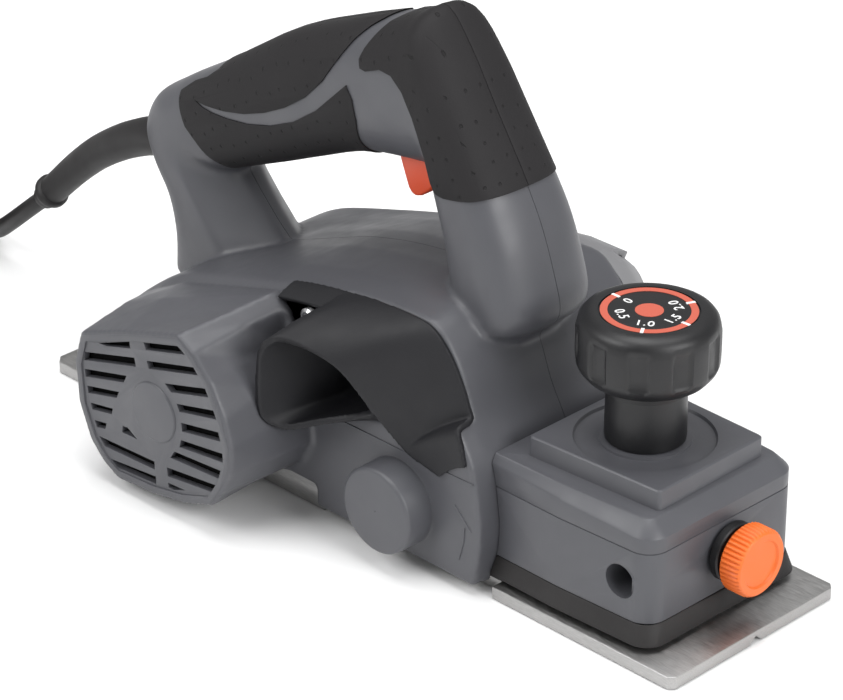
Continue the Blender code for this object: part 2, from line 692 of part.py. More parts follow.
def hood():
    """Arched guard over the drum, which throws the chips into the chute."""
    outline = []
    steps = 12
    for radius, order in ((27.6, range(steps + 1)), (25.1, range(steps, -1, -1))):
        for i in order:
            angle = math.radians(12 + 152 * i / steps)
            outline.append((DRUM_X + radius * math.cos(angle), DRUM_Z + radius * math.sin(angle)))
    guard = make("drum_hood", prism(outline, "Y", -41.9, 41.9), "housing_gray")
    cut(guard, box((2.0, -36.0, 36.0), (28.0, -10.0, 60.0)))


# ---------------------------------------------------------------- cutter

def cutter(axis):
    """Drum, blades, clamps and pulley, all on the drum's axis."""
    origin = (DRUM_X, 0.0, DRUM_Z)
    centre = (DRUM_X, DRUM_Z)
    drum = make("cutter_drum", lathe(
        [(0, -50.6), (SHAFT_RADIUS, -50.6), (SHAFT_RADIUS, -DRUM_SIDE), (DRUM_RADIUS, -DRUM_SIDE),
         (DRUM_RADIUS, DRUM_SIDE), (SHAFT_RADIUS, DRUM_SIDE), (SHAFT_RADIUS, PULLEY_HIGH + 1.0),
         (0, PULLEY_HIGH + 1.0)], "Y", centre, 32), "aluminium", origin, axis)
    slot_floor, slot_half = 12.0, 4.0
    for side, label in ((1, "a"), (-1, "b")):
        z0, z1 = sorted((DRUM_Z + side * slot_floor, DRUM_Z + side * (DRUM_RADIUS + 3)))
        cut(drum, box((DRUM_X - slot_half, -DRUM_SIDE - 1, z0),
                      (DRUM_X + slot_half, DRUM_SIDE + 1, z1)))
        x0, x1 = sorted((DRUM_X + side * (slot_half - GAP), DRUM_X + side * (slot_half - 1.5)))
        z0, z1 = sorted((DRUM_Z + side * (slot_floor + GAP), DRUM_Z + side * BLADE_RADIUS))
        tip = math.sqrt(BLADE_RADIUS ** 2 - slot_half ** 2)
        z1_safe = DRUM_Z + side * tip
        z0, z1 = sorted((DRUM_Z + side * (slot_floor + GAP), z1_safe))
        make(f"blade_{label}", box((x0, -BLADE_LENGTH / 2, z0), (x1, BLADE_LENGTH / 2, z1)),
             "steel", origin, axis)
        x0, x1 = sorted((DRUM_X + side * (slot_half - 1.8), DRUM_X - side * (slot_half - GAP)))
        z0, z1 = sorted((DRUM_Z + side * (slot_floor + GAP), DRUM_Z + side * 19.8))
        make(f"blade_clamp_{label}", box((x0, -DRUM_SIDE, z0), (x1, DRUM_SIDE, z1)),
             "steel", origin, axis)
    pulley = pulley_profile(DRUM_PULLEY_RADIUS, SHAFT_RADIUS + 0.05)
    round_off(make("drum_pulley", lathe(pulley, "Y", centre, 32), "steel", origin, axis))


def pulley_profile(radius, bore):
    """A belt pulley with two flanges, turned round its shaft."""
    low, high = PULLEY_LOW, PULLEY_HIGH
    return [(bore, low), (radius + 1.6, low), (radius + 1.6, low + 0.8), (radius, low + 0.8),
            (radius, high - 0.8), (radius + 1.6, high - 0.8), (radius + 1.6, high), (bore, high)]


def ball_bearing(name, centre, low, high, bore, outer, parent=None):
    """A closed ball bearing as one ring."""
    ring = [(bore, low), (outer, low), (outer, high), (bore, high)]
    round_off(make(name, lathe(ring, "Y", centre, 24), "steel"))


# ---------------------------------------------------------------- motor

def motor(axis):
    """Armature on its axis, and the stator, brushes and bearings round it."""
    origin = (MOTOR_X, 0.0, MOTOR_Z)
    centre = (MOTOR_X, MOTOR_Z)
    shaft = MOTOR_SHAFT_RADIUS
    fit = shaft + 0.05

    def turned(name, profile, material, count=24):
        round_off(make(name, lathe(profile, "Y", centre, count), material, origin, axis))

    turned("motor_shaft", [(0, -79.4), (shaft, -79.4), (shaft, 61.0), (0, 61.0)], "steel", 16)
    turned("armature_core", [(fit, -64.0), (CORE_RADIUS, -64.0), (CORE_RADIUS, -32.0), (fit, -32.0)],
           "steel")
    turned("commutator", [(fit, -73.5), (10.5, -73.5), (10.5, -66.0), (fit, -66.0)], "copper")
    turned("motor_pulley", pulley_profile(MOTOR_PULLEY_RADIUS, fit), "steel")

    fan = make("motor_fan", lathe([(fit, -24.0), (9.0, -24.0), (9.0, -16.5), (24.0, -16.5),
                                   (24.0, -15.0), (fit, -15.0)], "Y", centre, 24),
               "hard_black", origin, axis)
    for k in range(8):
        angle = 2 * math.pi * k / 8 + 0.2
        c, s = math.cos(angle), math.sin(angle)
        corners = [(7.5, -0.8), (23.5, -0.8), (23.5, 0.8), (7.5, 0.8)]
        outline = [(MOTOR_X + a * c - b * s, MOTOR_Z + a * s + b * c) for a, b in corners]
        join(fan, prism(outline, "Y", -24.0, -16.0))

    stator = [(CORE_RADIUS + 0.6, -66.0), (STATOR_RADIUS, -66.0), (STATOR_RADIUS, -30.0),
              (CORE_RADIUS + 0.6, -30.0)]
    round_off(make("stator", lathe(stator, "Y", centre, 32), "steel"))
    for side, label in ((1, "front"), (-1, "rear")):
        x0, x1 = sorted((MOTOR_X + side * 10.8, MOTOR_X + side * 20.0))
        make(f"carbon_brush_{label}", box((x0, -72.5, MOTOR_Z - 2.5), (x1, -67.5, MOTOR_Z + 2.5)),
             "carbon")
        x0, x1 = sorted((MOTOR_X + side * 13.0, MOTOR_X + side * 26.0))
        holder = make(f"brush_holder_{label}",
                      box((x0, -74.5, MOTOR_Z - 4.5), (x1, -66.5, MOTOR_Z + 4.5)), "copper")
        x0, x1 = sorted((MOTOR_X + side * 10.0, MOTOR_X + side * 20.4))
        cut(holder, box((x0, -72.8, MOTOR_Z - 2.8), (x1, -67.2, MOTOR_Z + 2.8)))


def drive_belt():
    """Flat ribbed belt round both pulleys, by its outer tangents."""
    dx, dz = DRUM_X - MOTOR_X, DRUM_Z - MOTOR_Z
    distance = math.hypot(dx, dz)
    lean = math.atan2(dz, dx)
    spread = math.acos((MOTOR_PULLEY_RADIUS - DRUM_PULLEY_RADIUS) / distance)

    def outline(grow):
        points = []
        for (cx, cz), radius, start, end in (
                ((DRUM_X, DRUM_Z), DRUM_PULLEY_RADIUS, lean - spread, lean + spread),
                ((MOTOR_X, MOTOR_Z), MOTOR_PULLEY_RADIUS, lean + spread, lean + 2 * math.pi - spread)):
            steps = 14
            for i in range(steps + 1):
                angle = start + (end - start) * i / steps
                points.append((cx + (radius + grow) * math.cos(angle),
                               cz + (radius + grow) * math.sin(angle)))
        return points

    belt = band(outline(0.35 + BELT_THICKNESS), outline(0.35), "Y", PULLEY_LOW + 1.2, PULLEY_HIGH - 1.2)
    make("drive_belt", belt, "rubber")


# ---------------------------------------------------------------- depth knob

def depth_adjuster(axis):
    """Knob, dial and screw turn together; the spring loads the shoe."""
    origin = (KNOB_X, 0.0, 0.0)
    centre = (KNOB_X, 0.0)
    dial_low = KNOB_TOP - 1.6
    profile = [(0, NECK_FOOT), (NECK_RADIUS, NECK_FOOT), (NECK_RADIUS - 0.3, 82.0), (17.0, 84.2),
               (22.4, 85.2), (KNOB_RADIUS, 88.0), (KNOB_RADIUS, 101.0), (22.6, 103.4), (19.0, KNOB_TOP),
               (16.4, KNOB_TOP), (16.4, dial_low - GAP), (0, dial_low - GAP)]
    knob = make("depth_knob", lathe(profile, "Z", centre, 48), "hard_black", origin, axis)
    scoop = 12
    for k in range(scoop):
        angle = 2 * math.pi * (k + 0.5) / scoop
        outline = circle(KNOB_X + 27.0 * math.cos(angle), 27.0 * math.sin(angle), 4.2, 10, angle)
        cut(knob, prism(outline, "Z", 86.5, 99.5))
    bore = lathe([(0, NECK_FOOT - 1), (3.3, NECK_FOOT - 1), (3.3, 74.0), (0, 74.0)], "Z", centre, 16)
    cut(knob, bore)
    round_off(knob)
    dial = [(0, dial_low), (16.05, dial_low), (16.05, KNOB_TOP - 0.3), (0, KNOB_TOP - 0.3)]
    round_off(make("depth_dial", lathe(dial, "Z", centre, 40), "orange", origin, axis))
    screw = [(0, 12.0), (3.0, 12.0), (3.0, 33.0), (5.0, 33.0), (5.0, 57.5), (3.0, 57.5), (3.0, 73.6),
             (0, 73.6)]
    round_off(make("depth_screw", lathe(screw, "Z", centre, 16), "steel", origin, axis))


def depth_spring():
    """Coil spring round the shoe's boss, between the shoe and the housing."""
    turns, radius, wire = 4.0, 12.5, 0.9
    low, high = PLATE + wire + GAP, 44.6 - wire
    steps = 56
    curve = bpy.data.curves.new("depth_spring", "CURVE")
    curve.dimensions = "3D"
    curve.bevel_depth = wire * MM
    curve.bevel_resolution = 1
    curve.use_fill_caps = True
    spline = curve.splines.new("POLY")
    spline.points.add(steps)
    for i in range(steps + 1):
        angle = 2 * math.pi * turns * i / steps
        height = low + (high - low) * i / steps
        spline.points[i].co = (radius * math.cos(angle) * MM, radius * math.sin(angle) * MM,
                               height * MM, 1.0)
    curve.materials.append(finish("steel"))
    spring = bpy.data.objects.new("depth_spring", curve)
    spring.location = (KNOB_X * MM, 0.0, 0.0)
    bpy.context.collection.objects.link(spring)


def fence_clamp(axis):
    """Knurled thumbscrew that clamps the fence rod, with its black collar."""
    centre = (FENCE_Y, FENCE_Z)
    origin = (FENCE_FACE, FENCE_Y, FENCE_Z)
    back = FENCE_FACE - 8.6
    profile = [(0, back), (FENCE_RADIUS, back), (FENCE_RADIUS, FENCE_FACE - 1.2),
               (FENCE_RADIUS - 1.2, FENCE_FACE), (8.6, FENCE_FACE), (8.0, FENCE_FACE - 0.7),
               (0, FENCE_FACE - 0.7)]
    knob = make("fence_knob", lathe(profile, "X", centre, 36), "bright_orange", origin, axis)
    cut(knob, lathe([(0, back - 1), (3.05, back - 1), (3.05, back + 5), (0, back + 5)], "X", centre, 16))
    stem = [(0, ROD_X + 7.0), (3.0, ROD_X + 7.0), (3.0, back + 4.6), (0, back + 4.6)]
    round_off(make("fence_screw", lathe(stem, "X", centre, 16), "steel", origin, axis))
    collar = [(3.6, HOUSING_FRONT + 0.7), (11.4, HOUSING_FRONT + 0.7), (11.4, back - 2.2),
              (3.6, back - 2.2)]
    round_off(make("fence_collar", lathe(collar, "X", centre, 28), "hard_black"))


# ---------------------------------------------------------------- switch

def switch(trigger_axis, lock_axis):
    """Trigger, its spring, the switch body and the lock-off button."""
    tx, tz = TRIGGER_PIVOT
    blade = [(-4.6, 134.0), (-4.3, 127.5), (-1.6, 120.5), (0.3, 116.0), (1.8, 114.4), (3.6, 113.9),
             (6.2, 114.8), (9.2, 117.0), (11.8, 119.6), (13.4, 124.0), (14.4, 129.0), (14.6, 134.0)]
    make("trigger", prism(blade, "Y", -7.4, 7.4), "orange", (tx, 0.0, tz), trigger_axis)
    make("switch_body", box((-24.0, -9.0, 143.0), (8.0, 9.0, 157.0)), "hard_black")
    button = [(0, 12.6), (4.5, 12.6), (4.5, 20.6), (3.7, 21.4), (0, 21.4)]
    round_off(make("lock_button", lathe(button, "Y", LOCK_CENTRE, 20), "orange",
                   (LOCK_CENTRE[0], 0.0, LOCK_CENTRE[1]), lock_axis))


TRIGGER_PIVOT = (12.0, 133.0)
LOCK_CENTRE = (-8.0, 148.0)


# ---------------------------------------------------------------- mains lead

BOOT_PATH = [(-134.2, 88.6), (-138.8, 87.9), (-146.0, 85.2), (-158.0, 79.3), (-172.0, 70.5),
             (-185.5, 59.6), (-200.5, 45.6)]
BOOT_RADII = [7.4, 7.4, 7.2, 6.9, 6.5, 6.1, 5.8]

# The free stretch of the lead, from the boot's end down to the coil's first turn
LEAD_ROUTE = [
    (-206.9, 0.0, 39.6), (-213.0, 0.1, 34.8), (-221.0, 0.5, 28.3), (-230.0, 1.6, 21.2),
    (-240.0, 4.0, 14.0), (-250.5, 7.8, 8.2), (-262.0, 13.0, 4.6), (-274.0, 18.8, 3.6),
    (-285.0, 23.2, 3.6),
]


def smooth_route(points, spacing):
    """Evenly spaced points on the smooth curve through the given points."""
    fine = []
    last = len(points) - 1
    for i in range(last):
        p0 = Vector(points[max(i - 1, 0)])
        p1, p2 = Vector(points[i]), Vector(points[i + 1])
        p3 = Vector(points[min(i + 2, last)])
        for k in range(20):
            t = k / 20
            fine.append(0.5 * (2 * p1 + (p2 - p0) * t + (2 * p0 - 5 * p1 + 4 * p2 - p3) * t * t
                               + (3 * p1 - p0 - 3 * p2 + p3) * t ** 3))
    fine.append(Vector(points[-1]))
    total = sum((b - a).length for a, b in zip(fine, fine[1:]))
    count = max(2, round(total / spacing))
    out, travelled, target = [fine[0]], 0.0, total / count
    for a, b in zip(fine, fine[1:]):
        step = (b - a).length
        while travelled + step >= target and len(out) < count:
            out.append(a.lerp(b, (target - travelled) / step))
            target += total / count
        travelled += step
    out.append(fine[-1])
    return out


def lead(name, points):
    """A plain round tube along a route."""
    curve = bpy.data.curves.new(name, "CURVE")
    curve.dimensions = "3D"
    curve.bevel_depth = LEAD_DIAMETER / 2 * MM
    curve.bevel_resolution = 2
    curve.use_fill_caps = True
    spline = curve.splines.new("POLY")
    spline.points.add(len(points) - 1)
    for i, p in enumerate(points):
        spline.points[i].co = (p[0] * MM, p[1] * MM, p[2] * MM, 1.0)
    curve.materials.append(finish("rubber"))
    obj = bpy.data.objects.new(name, curve)
    bpy.context.collection.objects.link(obj)


def cord_boot():
    """Tapered strain relief: collar at the handle, flange at its far end."""
    path = [Vector((x, 0.0, z)) for x, z in BOOT_PATH]
    tail = (path[-1] - path[-2]).normalized()
    stops = list(zip(path, BOOT_RADII))
    stops.append((path[-1] + tail * 0.6, 6.8))
    stops.append((path[-1] + tail * 3.2, 6.8))
    stops.append((path[-1] + tail * 4.0, 5.3))
    stops.append((path[-1] + tail * 8.2, 4.9))
    rings = []
    for i, (point, radius) in enumerate(stops):
        before = stops[max(i - 1, 0)][0]
        after = stops[min(i + 1, len(stops) - 1)][0]
        along = (after - before).normalized()
        if i > len(path) - 2:
            along = tail
        up = Vector((-along.z, 0.0, along.x))
        across = Vector((0.0, 1.0, 0.0))
        rings.append([tuple(point + radius * (math.cos(a) * up + math.sin(a) * across))
                      for a in [2 * math.pi * k / 16 for k in range(16)]])
    round_off(make("cord_boot", loft(rings), "rubber"))


def coil_and_plug():
    """The stored length as one ring, the tail out of it, and the plug beside it."""
    radius = LEAD_DIAMETER / 2
    low, high = 0.1, COIL_LAYERS * LEAD_DIAMETER + 0.1
    inner, outer = COIL_INNER_TURN - radius, COIL_OUTER_TURN + radius
    ring = [(inner, low), (outer, low), (outer, high), (inner, high)]
    round_off(make("cord_coil", lathe(ring, "Z", (COIL_X, COIL_Y), 40), "rubber"))
    tail_y = COIL_Y - COIL_OUTER_TURN
    start = COIL_X + math.sqrt((outer + GAP) ** 2 - (COIL_OUTER_TURN - radius) ** 2) + 0.6
    lead("cord_tail", [(start, tail_y, 23.6), (start + 8.0, tail_y, 20.6), (start + 16.0, tail_y, 16.0),
                       (start + 23.5, tail_y, 12.2), (start + 28.6, tail_y, 11.0),
                       (start + 31.6, tail_y, 11.0)])
    nose = start + 31.6 + GAP
    sections = [(0.0, 5.2, 5.2), (3.0, 5.6, 5.6), (14.0, 7.4, 7.0), (17.0, 12.0, 8.6),
                (26.0, 16.4, 10.4), (40.0, 17.6, 10.8), (46.0, 17.6, 10.8), (47.0, 16.8, 10.2)]
    rings = []
    for along, wide, tall in sections:
        rings.append([(nose + along, tail_y + a, 11.0 + b) for a, b in
                      rounded(rectangle(-wide, -tall, wide, tall), tall * 0.8, 3)])
    plug = make("mains_plug", loft(rings), "rubber")
    for side in (-1, 1):
        pin = lathe([(0, nose + 40.0), (2.4, nose + 40.0), (2.4, nose + 64.5), (1.6, nose + 66.0),
                     (0, nose + 66.0)], "X", (tail_y + side * 9.5, 11.0), 12)
        join(plug, pin)
    round_off(plug)


# ---------------------------------------------------------------- small parts

def machine_screw(name, axis, centre, head, tip, head_radius=3.6, stem_radius=1.6):
    """A pan-head screw: head and tip are its ends along the axis."""
    turn = 1 if tip > head else -1
    profile = [(0, head), (head_radius * 0.7, head), (head_radius, head + turn * 0.8),
               (head_radius, head + turn * 2.4), (stem_radius, head + turn * 2.4), (stem_radius, tip),
               (0, tip)]
    round_off(make(name, lathe(profile, axis, centre, 16), "steel"))


def build():
    """Make the whole planer."""
    for obj in list(bpy.data.objects):
        bpy.data.objects.remove(obj, do_unlink=True)

    shoe_carrier = pivot("front_shoe_slide", (KNOB_X, 0.0, 0.0))
    depth_axis = pivot("depth_axis", (KNOB_X, 0.0, 0.0))
    drum_axis = pivot("drum_axis", (DRUM_X, 0.0, DRUM_Z))
    motor_axis = pivot("motor_axis", (MOTOR_X, 0.0, MOTOR_Z))
    fence_axis = pivot("fence_axis", (FENCE_FACE, FENCE_Y, FENCE_Z))
    trigger_axis = pivot("trigger_axis", (TRIGGER_PIVOT[0], 0.0, TRIGGER_PIVOT[1]))
    lock_axis = pivot("lock_axis", (LOCK_CENTRE[0], 0.0, LOCK_CENTRE[1]))

    rear_shoe()
    front_shoe(shoe_carrier)
    front_gasket(shoe_carrier)
    front_skirt()
    front_housing()
    for side, label in ((-1, "right"), (1, "left")):
        body_half(side)
        grips(side, label)
    motor_grille()
    belt_cover()
    bearing_cap()
    chute()
    hood()
    cutter(drum_axis)
    drum_centre = (DRUM_X, DRUM_Z)
    ball_bearing("drum_bearing_right", drum_centre, -50.0, -43.0, 5.05, BEARING_RADIUS)
    ball_bearing("drum_bearing_left", drum_centre, 42.0, 49.0, 5.05, BEARING_RADIUS)
    motor(motor_axis)
    motor_centre = (MOTOR_X, MOTOR_Z)
    ball_bearing("motor_bearing_right", motor_centre, -79.8, -75.4, 4.05, 9.5)
    ball_bearing("motor_bearing_left", motor_centre, 40.0, 46.0, 4.05, 9.5)
    drive_belt()
    depth_adjuster(depth_axis)
    depth_spring()
    fence_clamp(fence_axis)
    switch(trigger_axis, lock_axis)
    cord_boot()
    lead("cord_lead", smooth_route(LEAD_ROUTE, 18.0))
    coil_and_plug()


build()
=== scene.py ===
"""Looks of the electric hand planer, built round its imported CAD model.

Shapes are worked out in millimetres in the row frame and become metres in place().
"""
import json
import math

import bmesh
import bpy
import numpy as np
from mathutils import Matrix, Vector


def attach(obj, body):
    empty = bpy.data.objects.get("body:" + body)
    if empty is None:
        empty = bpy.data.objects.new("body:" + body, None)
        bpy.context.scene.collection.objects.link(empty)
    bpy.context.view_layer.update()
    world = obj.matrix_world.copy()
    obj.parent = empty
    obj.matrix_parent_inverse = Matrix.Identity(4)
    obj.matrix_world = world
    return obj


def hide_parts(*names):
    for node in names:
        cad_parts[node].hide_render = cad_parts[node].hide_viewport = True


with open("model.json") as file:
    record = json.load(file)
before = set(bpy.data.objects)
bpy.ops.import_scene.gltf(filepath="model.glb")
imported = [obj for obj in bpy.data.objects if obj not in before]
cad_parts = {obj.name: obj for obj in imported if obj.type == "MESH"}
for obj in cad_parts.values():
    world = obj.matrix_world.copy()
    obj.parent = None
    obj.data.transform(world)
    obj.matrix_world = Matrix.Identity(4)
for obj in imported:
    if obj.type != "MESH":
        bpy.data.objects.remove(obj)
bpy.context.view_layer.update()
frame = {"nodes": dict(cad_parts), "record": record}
MM = 0.001
SIDES = ((-1, "right"), (1, "left"))

# ---- camera

CAMERA_PLACE = (0.7849, -0.7810, 0.6380)
CAMERA_TARGET = (-0.0007, 0.0, 0.0507)
CAMERA_LENS = 153.74


def linked(name, data):
    """A new object with its data, put in the scene."""
    obj = bpy.data.objects.new(name, data)
    bpy.context.scene.collection.objects.link(obj)
    return obj


def aim(obj, place_at, target):
    """Put a camera or lamp somewhere, looking at a target."""
    obj.location = place_at
    look = Vector(target) - Vector(place_at)
    obj.rotation_euler = look.to_track_quat("-Z", "Y").to_euler()


def add_camera():
    data = bpy.data.cameras.new("camera")
    data.lens = CAMERA_LENS
    data.sensor_width = 36.0
    data.clip_start = 0.05
    data.clip_end = 50.0
    cam = linked("camera", data)
    aim(cam, CAMERA_PLACE, CAMERA_TARGET)
    bpy.context.scene.camera = cam


add_camera()

# ---- materials


def shader_tree(name, color, rough):
    made = bpy.data.materials.new(name)
    made.use_nodes = True
    shader = made.node_tree.nodes["Principled BSDF"]
    shader.inputs["Base Color"].default_value = (*color, 1.0)
    shader.inputs["Roughness"].default_value = rough
    return made, made.node_tree, shader


def link(tree, out, into):
    tree.links.new(out, into)


def noise(tree, vector, scale, detail=2.0, roughness=0.5):
    node = tree.nodes.new("ShaderNodeTexNoise")
    node.inputs["Scale"].default_value = scale
    node.inputs["Detail"].default_value = detail
    node.inputs["Roughness"].default_value = roughness
    link(tree, vector, node.inputs["Vector"])
    return node.outputs["Fac"]


def ranged(tree, value, low, high, from_low=0.3, from_high=0.7):
    node = tree.nodes.new("ShaderNodeMapRange")
    node.inputs["From Min"].default_value = from_low
    node.inputs["From Max"].default_value = from_high
    node.inputs["To Min"].default_value = low
    node.inputs["To Max"].default_value = high
    link(tree, value, node.inputs["Value"])
    return node.outputs["Result"]


def tinted(tree, factor, dark, light):
    node = tree.nodes.new("ShaderNodeMix")
    node.data_type = "RGBA"
    node.inputs["A"].default_value = (*dark, 1.0)
    node.inputs["B"].default_value = (*light, 1.0)
    link(tree, factor, node.inputs["Factor"])
    return node.outputs["Result"]


def mottled(tree, factor, color, spread):
    """A colour that strays both ways by a share of itself."""
    return tinted(tree, factor, [c * (1.0 - spread) for c in color],
                  [min(1.0, c * (1.0 + spread)) for c in color])


def bumped(tree, shader, height, strength, distance):
    node = tree.nodes.new("ShaderNodeBump")
    node.inputs["Strength"].default_value = strength
    node.inputs["Distance"].default_value = distance
    link(tree, height, node.inputs["Height"])
    link(tree, node.outputs["Normal"], shader.inputs["Normal"])


def coordinates(tree, stretch=(1.0, 1.0, 1.0)):
    place_node = tree.nodes.new("ShaderNodeTexCoord")
    mapping = tree.nodes.new("ShaderNodeMapping")
    mapping.inputs["Scale"].default_value = stretch
    link(tree, place_node.outputs["Object"], mapping.inputs["Vector"])
    return mapping.outputs["Vector"]


def plastic(name, color, rough, grain=1500.0, depth=0.00006, spread=0.06, specular=0.5):
    """Moulded plastic: fine grain, slightly uneven colour and gloss."""
    made, tree, shader = shader_tree(name, color, rough)
    shader.inputs["Specular IOR Level"].default_value = specular
    where = coordinates(tree)
    uneven = mottled(tree, noise(tree, where, 30.0, 4.0), color, spread)
    link(tree, uneven, shader.inputs["Base Color"])
    gloss = ranged(tree, noise(tree, where, 90.0, 4.0), rough - 0.05, rough + 0.06)
    link(tree, gloss, shader.inputs["Roughness"])
    bumped(tree, shader, noise(tree, where, grain, 2.0), 0.35, depth)
    return made


def soft_grip(name, color, rough, pitch, hole):
    """Soft overmould with rows of small pits, laid out by the piece's own map; the pits are darkened as
    painted shade.
    """
    made, tree, shader = shader_tree(name, color, rough)
    shader.inputs["Specular IOR Level"].default_value = 0.3
    where = coordinates(tree)
    surface = tree.nodes.new("ShaderNodeUVMap")
    surface.uv_map = "around"
    cells = tree.nodes.new("ShaderNodeTexVoronoi")
    cells.voronoi_dimensions = "2D"
    cells.inputs["Scale"].default_value = 1.0 / pitch
    cells.inputs["Randomness"].default_value = 0.3
    link(tree, surface.outputs["UV"], cells.inputs["Vector"])
    edge = hole / pitch
    pits = ranged(tree, cells.outputs["Distance"], 0.0, 1.0, edge * 0.7, edge * 1.25)
    # pits coloured at half the grip's colour: painted shade inside the pits, on top of their bump
    dark = [c * 0.5 for c in color]
    plain = tinted(tree, noise(tree, where, 60.0, 3.0), [c * 0.9 for c in color],
                   [c * 1.12 for c in color])
    mix = tree.nodes.new("ShaderNodeMix")
    mix.data_type = "RGBA"
    mix.inputs["A"].default_value = (*dark, 1.0)
    link(tree, plain, mix.inputs["B"])
    link(tree, pits, mix.inputs["Factor"])
    link(tree, mix.outputs["Result"], shader.inputs["Base Color"])
    fine = noise(tree, where, 1300.0, 2.0)
    total = tree.nodes.new("ShaderNodeMath")
    total.operation = "MULTIPLY_ADD"
    link(tree, fine, total.inputs[0])
    total.inputs[1].default_value = 0.12
    link(tree, pits, total.inputs[2])
    bumped(tree, shader, total.outputs["Value"], 0.8, 0.00045)
    return made


def metal(name, color, rough, stretch=(1.0, 1.0, 1.0), grain=900.0, depth=0.00004, spread=0.1):
    """Machined metal with its grain stretched along one axis."""
    made, tree, shader = shader_tree(name, color, rough)
    shader.inputs["Metallic"].default_value = 1.0
    where = coordinates(tree, stretch)
    lines = noise(tree, where, grain, 3.0, 0.6)
    uneven = mottled(tree, ranged(tree, lines, 0.0, 1.0), color, spread)
    link(tree, uneven, shader.inputs["Base Color"])
    link(tree, ranged(tree, lines, rough - 0.08, rough + 0.1), shader.inputs["Roughness"])
    bumped(tree, shader, lines, 0.5, depth)
    return made


HOUSING = plastic("housing_gray", (0.073, 0.074, 0.083), 0.42)
COVER = plastic("cover_gray", (0.19, 0.19, 0.197), 0.5)
CHUTE_BLACK = plastic("chute_black", (0.0085, 0.0085, 0.0105), 0.56, 1700.0, 0.00008,
                      specular=0.35)
KNOB_BLACK = plastic("knob_black", (0.0055, 0.0055, 0.0065), 0.42, 1100.0, 0.00008)
SKIRT_BLACK = plastic("skirt_black", (0.011, 0.0095, 0.0095), 0.64, 1400.0, 0.0001)
ORANGE = plastic("trigger_orange", (0.60, 0.066, 0.018), 0.4)
BRIGHT = plastic("fence_orange", (0.72, 0.135, 0.014), 0.46)
SALMON = plastic("dial_orange", (0.50, 0.098, 0.060), 0.5)
WHITE = plastic("dial_white", (0.78, 0.78, 0.78), 0.5)
RUBBER = plastic("cord_rubber", (0.0075, 0.0065, 0.007), 0.52, 1300.0, 0.00008)
# near-black, matt material for the sheet behind the grille slots: painted shade for the shadowed inside
# of the pod
SHADE_BLACK = plastic("grille_shade_black", (0.004, 0.004, 0.004), 0.9, specular=0.1)
CARBON = plastic("carbon", (0.04, 0.04, 0.04), 0.7)
GRIP = soft_grip("grip_black", (0.0125, 0.0115, 0.0125), 0.68, 0.0072, 0.00052)
ALUMINIUM = metal("sole_aluminium", (0.43, 0.425, 0.42), 0.42, (1.0, 12.0, 12.0), 260.0, 0.00006, 0.16)
STEEL = metal("steel", (0.52, 0.52, 0.53), 0.3, (1.0, 1.0, 1.0), 700.0)
COPPER = metal("copper", (0.62, 0.30, 0.15), 0.34)

SLOT_LOOKS = {
    "housing_gray": HOUSING, "cover_gray": COVER, "soft_black": GRIP, "hard_black": KNOB_BLACK,
    "orange": ORANGE, "bright_orange": BRIGHT, "aluminium": ALUMINIUM, "steel": STEEL,
    "copper": COPPER, "carbon": CARBON, "rubber": RUBBER,
}
SLOT_OF = {row["node"]: row["material_slot"] for row in frame["record"]["subparts"]}
BODY_OF = {node: body for body, nodes in frame["record"]["behaviour"]["bodies"].items()
           for node in nodes}
for node_name, node_object in frame["nodes"].items():
    look = SLOT_LOOKS[SLOT_OF[node_name]]
    if not node_object.data.materials:
        node_object.data.materials.append(look)
    for index in range(len(node_object.data.materials)):
        node_object.data.materials[index] = look

# ---- solids


def lay(point, axis, height):
    """A flat point put at a height along an axis; Y outlines are (x, z)."""
    a, b = point
    if axis == "X":
        return (height, a, b)
    if axis == "Y":
        return (a, height, b)
    return (a, b, height)


def strips(rows, count, across):
    """Four-sided faces between rows of count points; across equals count if they close."""
    faces = []
    for r in range(rows - 1):
        for i in range(across):
            j = (i + 1) % count
            faces.append([r * count + i, r * count + j, (r + 1) * count + j, (r + 1) * count + i])
    return faces


def loft(rings, closed_ends=True):
    """Vertices and faces of a skin over rings that have equally many points."""
    count = len(rings[0])
    verts = [tuple(point) for ring in rings for point in ring]
    faces = []
    if closed_ends:
        faces.append(list(range(count)))
        faces.append(list(range((len(rings) - 1) * count, len(rings) * count)))
    return verts, faces + strips(len(rings), count, count)


def ramp(value, low, high):
    """0 below low, 1 above high, even between them."""
    return min(1.0, max(0.0, (value - low) / (high - low)))


def stack(axis, *rows):
    """A skin over flat outlines, each at its own height along an axis."""
    return loft([[lay(p, axis, height) for p in outline] for outline, height in rows])


def prism(outline, axis, low, high):
    return stack(axis, (outline, low), (outline, high))


def box(low, high):
    plan = [(low[0], low[1]), (high[0], low[1]), (high[0], high[1]), (low[0], high[1])]
    return prism(plan, "Z", low[2], high[2])


def lathe(profile, axis, centre, count, radius_at=None):
    """Turn (radius, height) rows into rings; radius_at may shape each ring by angle."""
    rings = []
    for row, (radius, height) in enumerate(profile):
        ring = []
        for i in range(count):
            angle = 2 * math.pi * i / count
            r = radius_at(row, radius, angle) if radius_at else radius
            ring.append(lay((centre[0] + r * math.cos(angle), centre[1] + r * math.sin(angle)),
                            axis, height))
        rings.append(ring)
    return loft(rings)


def turned_ring(profile, axis, centre, count):
    """A closed loop of (radius, height) turned about an axis."""
    rings = [[lay((centre[0] + r * math.cos(2 * math.pi * i / count),
                   centre[1] + r * math.sin(2 * math.pi * i / count)), axis, h)
              for i in range(count)] for r, h in profile]
    return loft(rings + [rings[0]], closed_ends=False)


